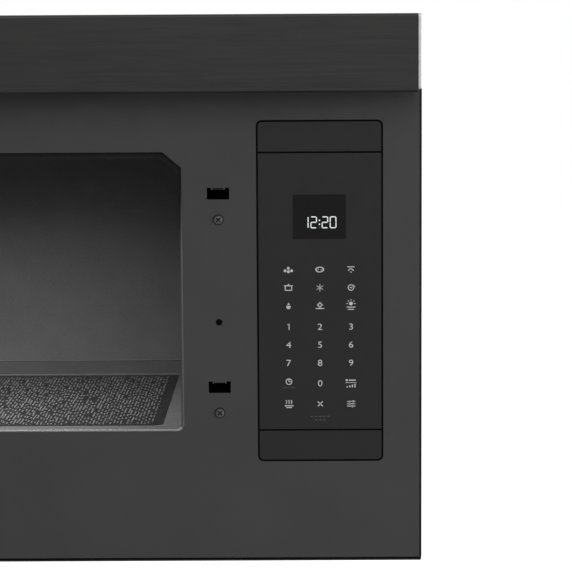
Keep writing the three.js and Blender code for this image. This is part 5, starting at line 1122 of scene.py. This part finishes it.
# %% Keypad print
COLUMNS = (275.2, 299.9, 324.4)
ROWS = (33.1, 18.7, 4.4, -12.3, -26.6, -41.1, -57.4, -73.9)
DIM_ROWS = ((-83.9, 2), (-86.7, 1))  # height, and how many bars on each side of the middle
KEYS = (
    (kernels, tuber, root_crop), (pot, snowflake, round_again), (drop, block_on_plate, sun_over_waves),
    *([digit(str(row + n)) for n in range(3)] for row in (1, 4, 7)),
    (clock_face, digit("0"), slider_over_steps), (steam, crossed, sliders),
)
shapes = []
for z, signs in zip(ROWS, KEYS):
    for x, sign in zip(COLUMNS, signs):
        shapes += sign(x, z)
hand_over(inked("key_print", shapes), "key_ink")

under_clock = ROWS[6] - 3.4
dim = [bar(COLUMNS[0] + a, under_clock, 3.6, 0.7) for a in (-3.2, 3.2)] + [dot(COLUMNS[0], under_clock, 0.45)]
for z, reach in DIM_ROWS:
    dim += [bar(COLUMNS[1] + 3.2 * i, z, 2.2, 0.7) for i in range(-reach, reach + 1)]
hand_over(inked("key_print_dim", dim), "dim_ink")
print(len(shapes), "shapes on the keypad and", len(dim), "dim ones")

# %% [markdown]
# ## Case screws and filter rings
# The wrapper and the bottom pan are screwed to the chassis from the sides and from below. One low pan head
# with a cross is modelled, and the others are copies with meshes of their own, turned to their faces.
# A small ring at the front of each grease filter lets a finger pull it down.

# %% Case screws and rings
WRAPPER_SIDE, PAN_FOOT = 378.2, -200.2
SIDE_SEATS = ((-24, 205), (-24, 20), (-24, -168), (-380, -168))  # y and z of the screws on one side
FILTER_X, RING_Z = 171.0, -198.4


def case_screw():
    """A low pan head at the origin that faces up, with its cross recess."""
    alone()
    middle = (0, 0, -0.2 * MM)
    bpy.ops.mesh.primitive_cylinder_add(vertices=28, radius=3.4 * MM, depth=2.4 * MM, location=middle)
    head = ease(settled("case_screw"), 0.8, 3)
    for across, along in ((2.1, 0.45), (0.45, 2.1)):
        carve(head, slab("blade", (-across, -along, 0.1), (across, along, 1.3)))
    return head


def seated(head, place, turn, axis):
    """A copy of the screw with its own mesh, turned about an axis by some degrees and moved to its place."""
    copy = head.copy()
    copy.data = head.data.copy()
    bpy.context.scene.collection.objects.link(copy)
    copy.matrix_world = Matrix.Translation([c * MM for c in place]) @ Matrix.Rotation(radians(turn), 4, axis)
    alone(copy)
    return settled("seated_screw")


first = case_screw()
heads = [seated(first, (side * WRAPPER_SIDE, y, z), side * 90, "Y")
         for side in (1, -1) for y, z in SIDE_SEATS]
heads += [seated(first, (x, y, PAN_FOOT), 180, "X") for x in (-356, 0, 356) for y in (-388, -22)]
bpy.data.objects.remove(first)
screws = merged("case_screws", heads)
bpy.ops.object.shade_smooth_by_angle(angle=radians(35))
hand_over(screws, "dark_screw")

for side, x in (("right", FILTER_X), ("left", -FILTER_X)):
    bow = [(x - 5 * cos(a), -297.5 + 4 * sin(a), RING_Z) for a in (i * pi / 10 for i in range(11))]
    feet = [[(x + s * 8, y, RING_Z) for y in (-308.2, -300.5)] for s in (-1, 1)]
    hand_over(bead("filter_ring_" + side, [*feet[0], *bow, *reversed(feet[1])], 0.8), "bare_steel")
print(len(heads), "screws and two rings")

# %% [markdown]
# ## Keys on the door
# The keypad lies behind the closed door, so a strip of touch keys on the outside starts and stops the oven
# and works the fan and the lamp. They are drawn flat like the keypad and then turned to face the door's side.

# %% Touch strip print
def lamp_sign(x, z):
    rays = [bar(x + 4.2 * sin(a), z + 4.2 * cos(a), 0.6, 1.6, turn=a * 180 / pi)
            for a in (i * pi / 3 - pi / 2 for i in range(5))]
    return [ring(x, z, 2.2, 0.6), *rays]


def fan_sign(x, z):
    blades = [bar(x + 2.2 * sin(a), z + 2.2 * cos(a), 1.5, 3.0, turn=a * 180 / pi, corner=0.45)
              for a in (i * pi / 2 + pi / 4 for i in range(4))]
    return [ring(x, z, 4.7, 0.55), dot(x, z, 0.7), *blades]


def start_sign(x, z):
    return [bar(x - 1.9, z, 1.3, 5.6), *[bar(x + 1.5, z + s * 1.3, 1.0, 4.2, turn=s * -58) for s in (1, -1)]]


def stop_sign(x, z):
    return [bar(x, z, 4.8, 4.8, corner=0.12)]


def plus_sign(x, z):
    return [bar(x, z, 4.6, 0.7), bar(x, z, 0.7, 4.6)]


def half_minute(x, z):
    return [figure("3", x - 2.2, z, 5.0), figure("0", x + 2.2, z, 5.0)]


def fan_levels(x, z):
    return [bar(x, z + 6 * i, 9.0 - 2.4 * i, 0.6) for i in range(3)]


STRIP_KEYS = ((fan_sign, 94), (plus_sign, 68), (lamp_sign, 40), (half_minute, 14), (start_sign, -10),
              (stop_sign, -40), (fan_levels, -87))
shapes = [shape for sign, z in STRIP_KEYS for shape in sign(0.0, z)]
door_print = inked("touch_strip_print", shapes)
near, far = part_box("touch_strip")
to_door = Matrix.Translation((near.x - FACE * MM, (near.y + far.y) / 2, 0))
door_print.matrix_world = to_door @ Matrix.Rotation(radians(-90), 4, "Z")
alone(door_print)
bpy.ops.object.transform_apply()
hand_over(door_print, "key_ink", "door")
print(len(STRIP_KEYS), "signs on the door")
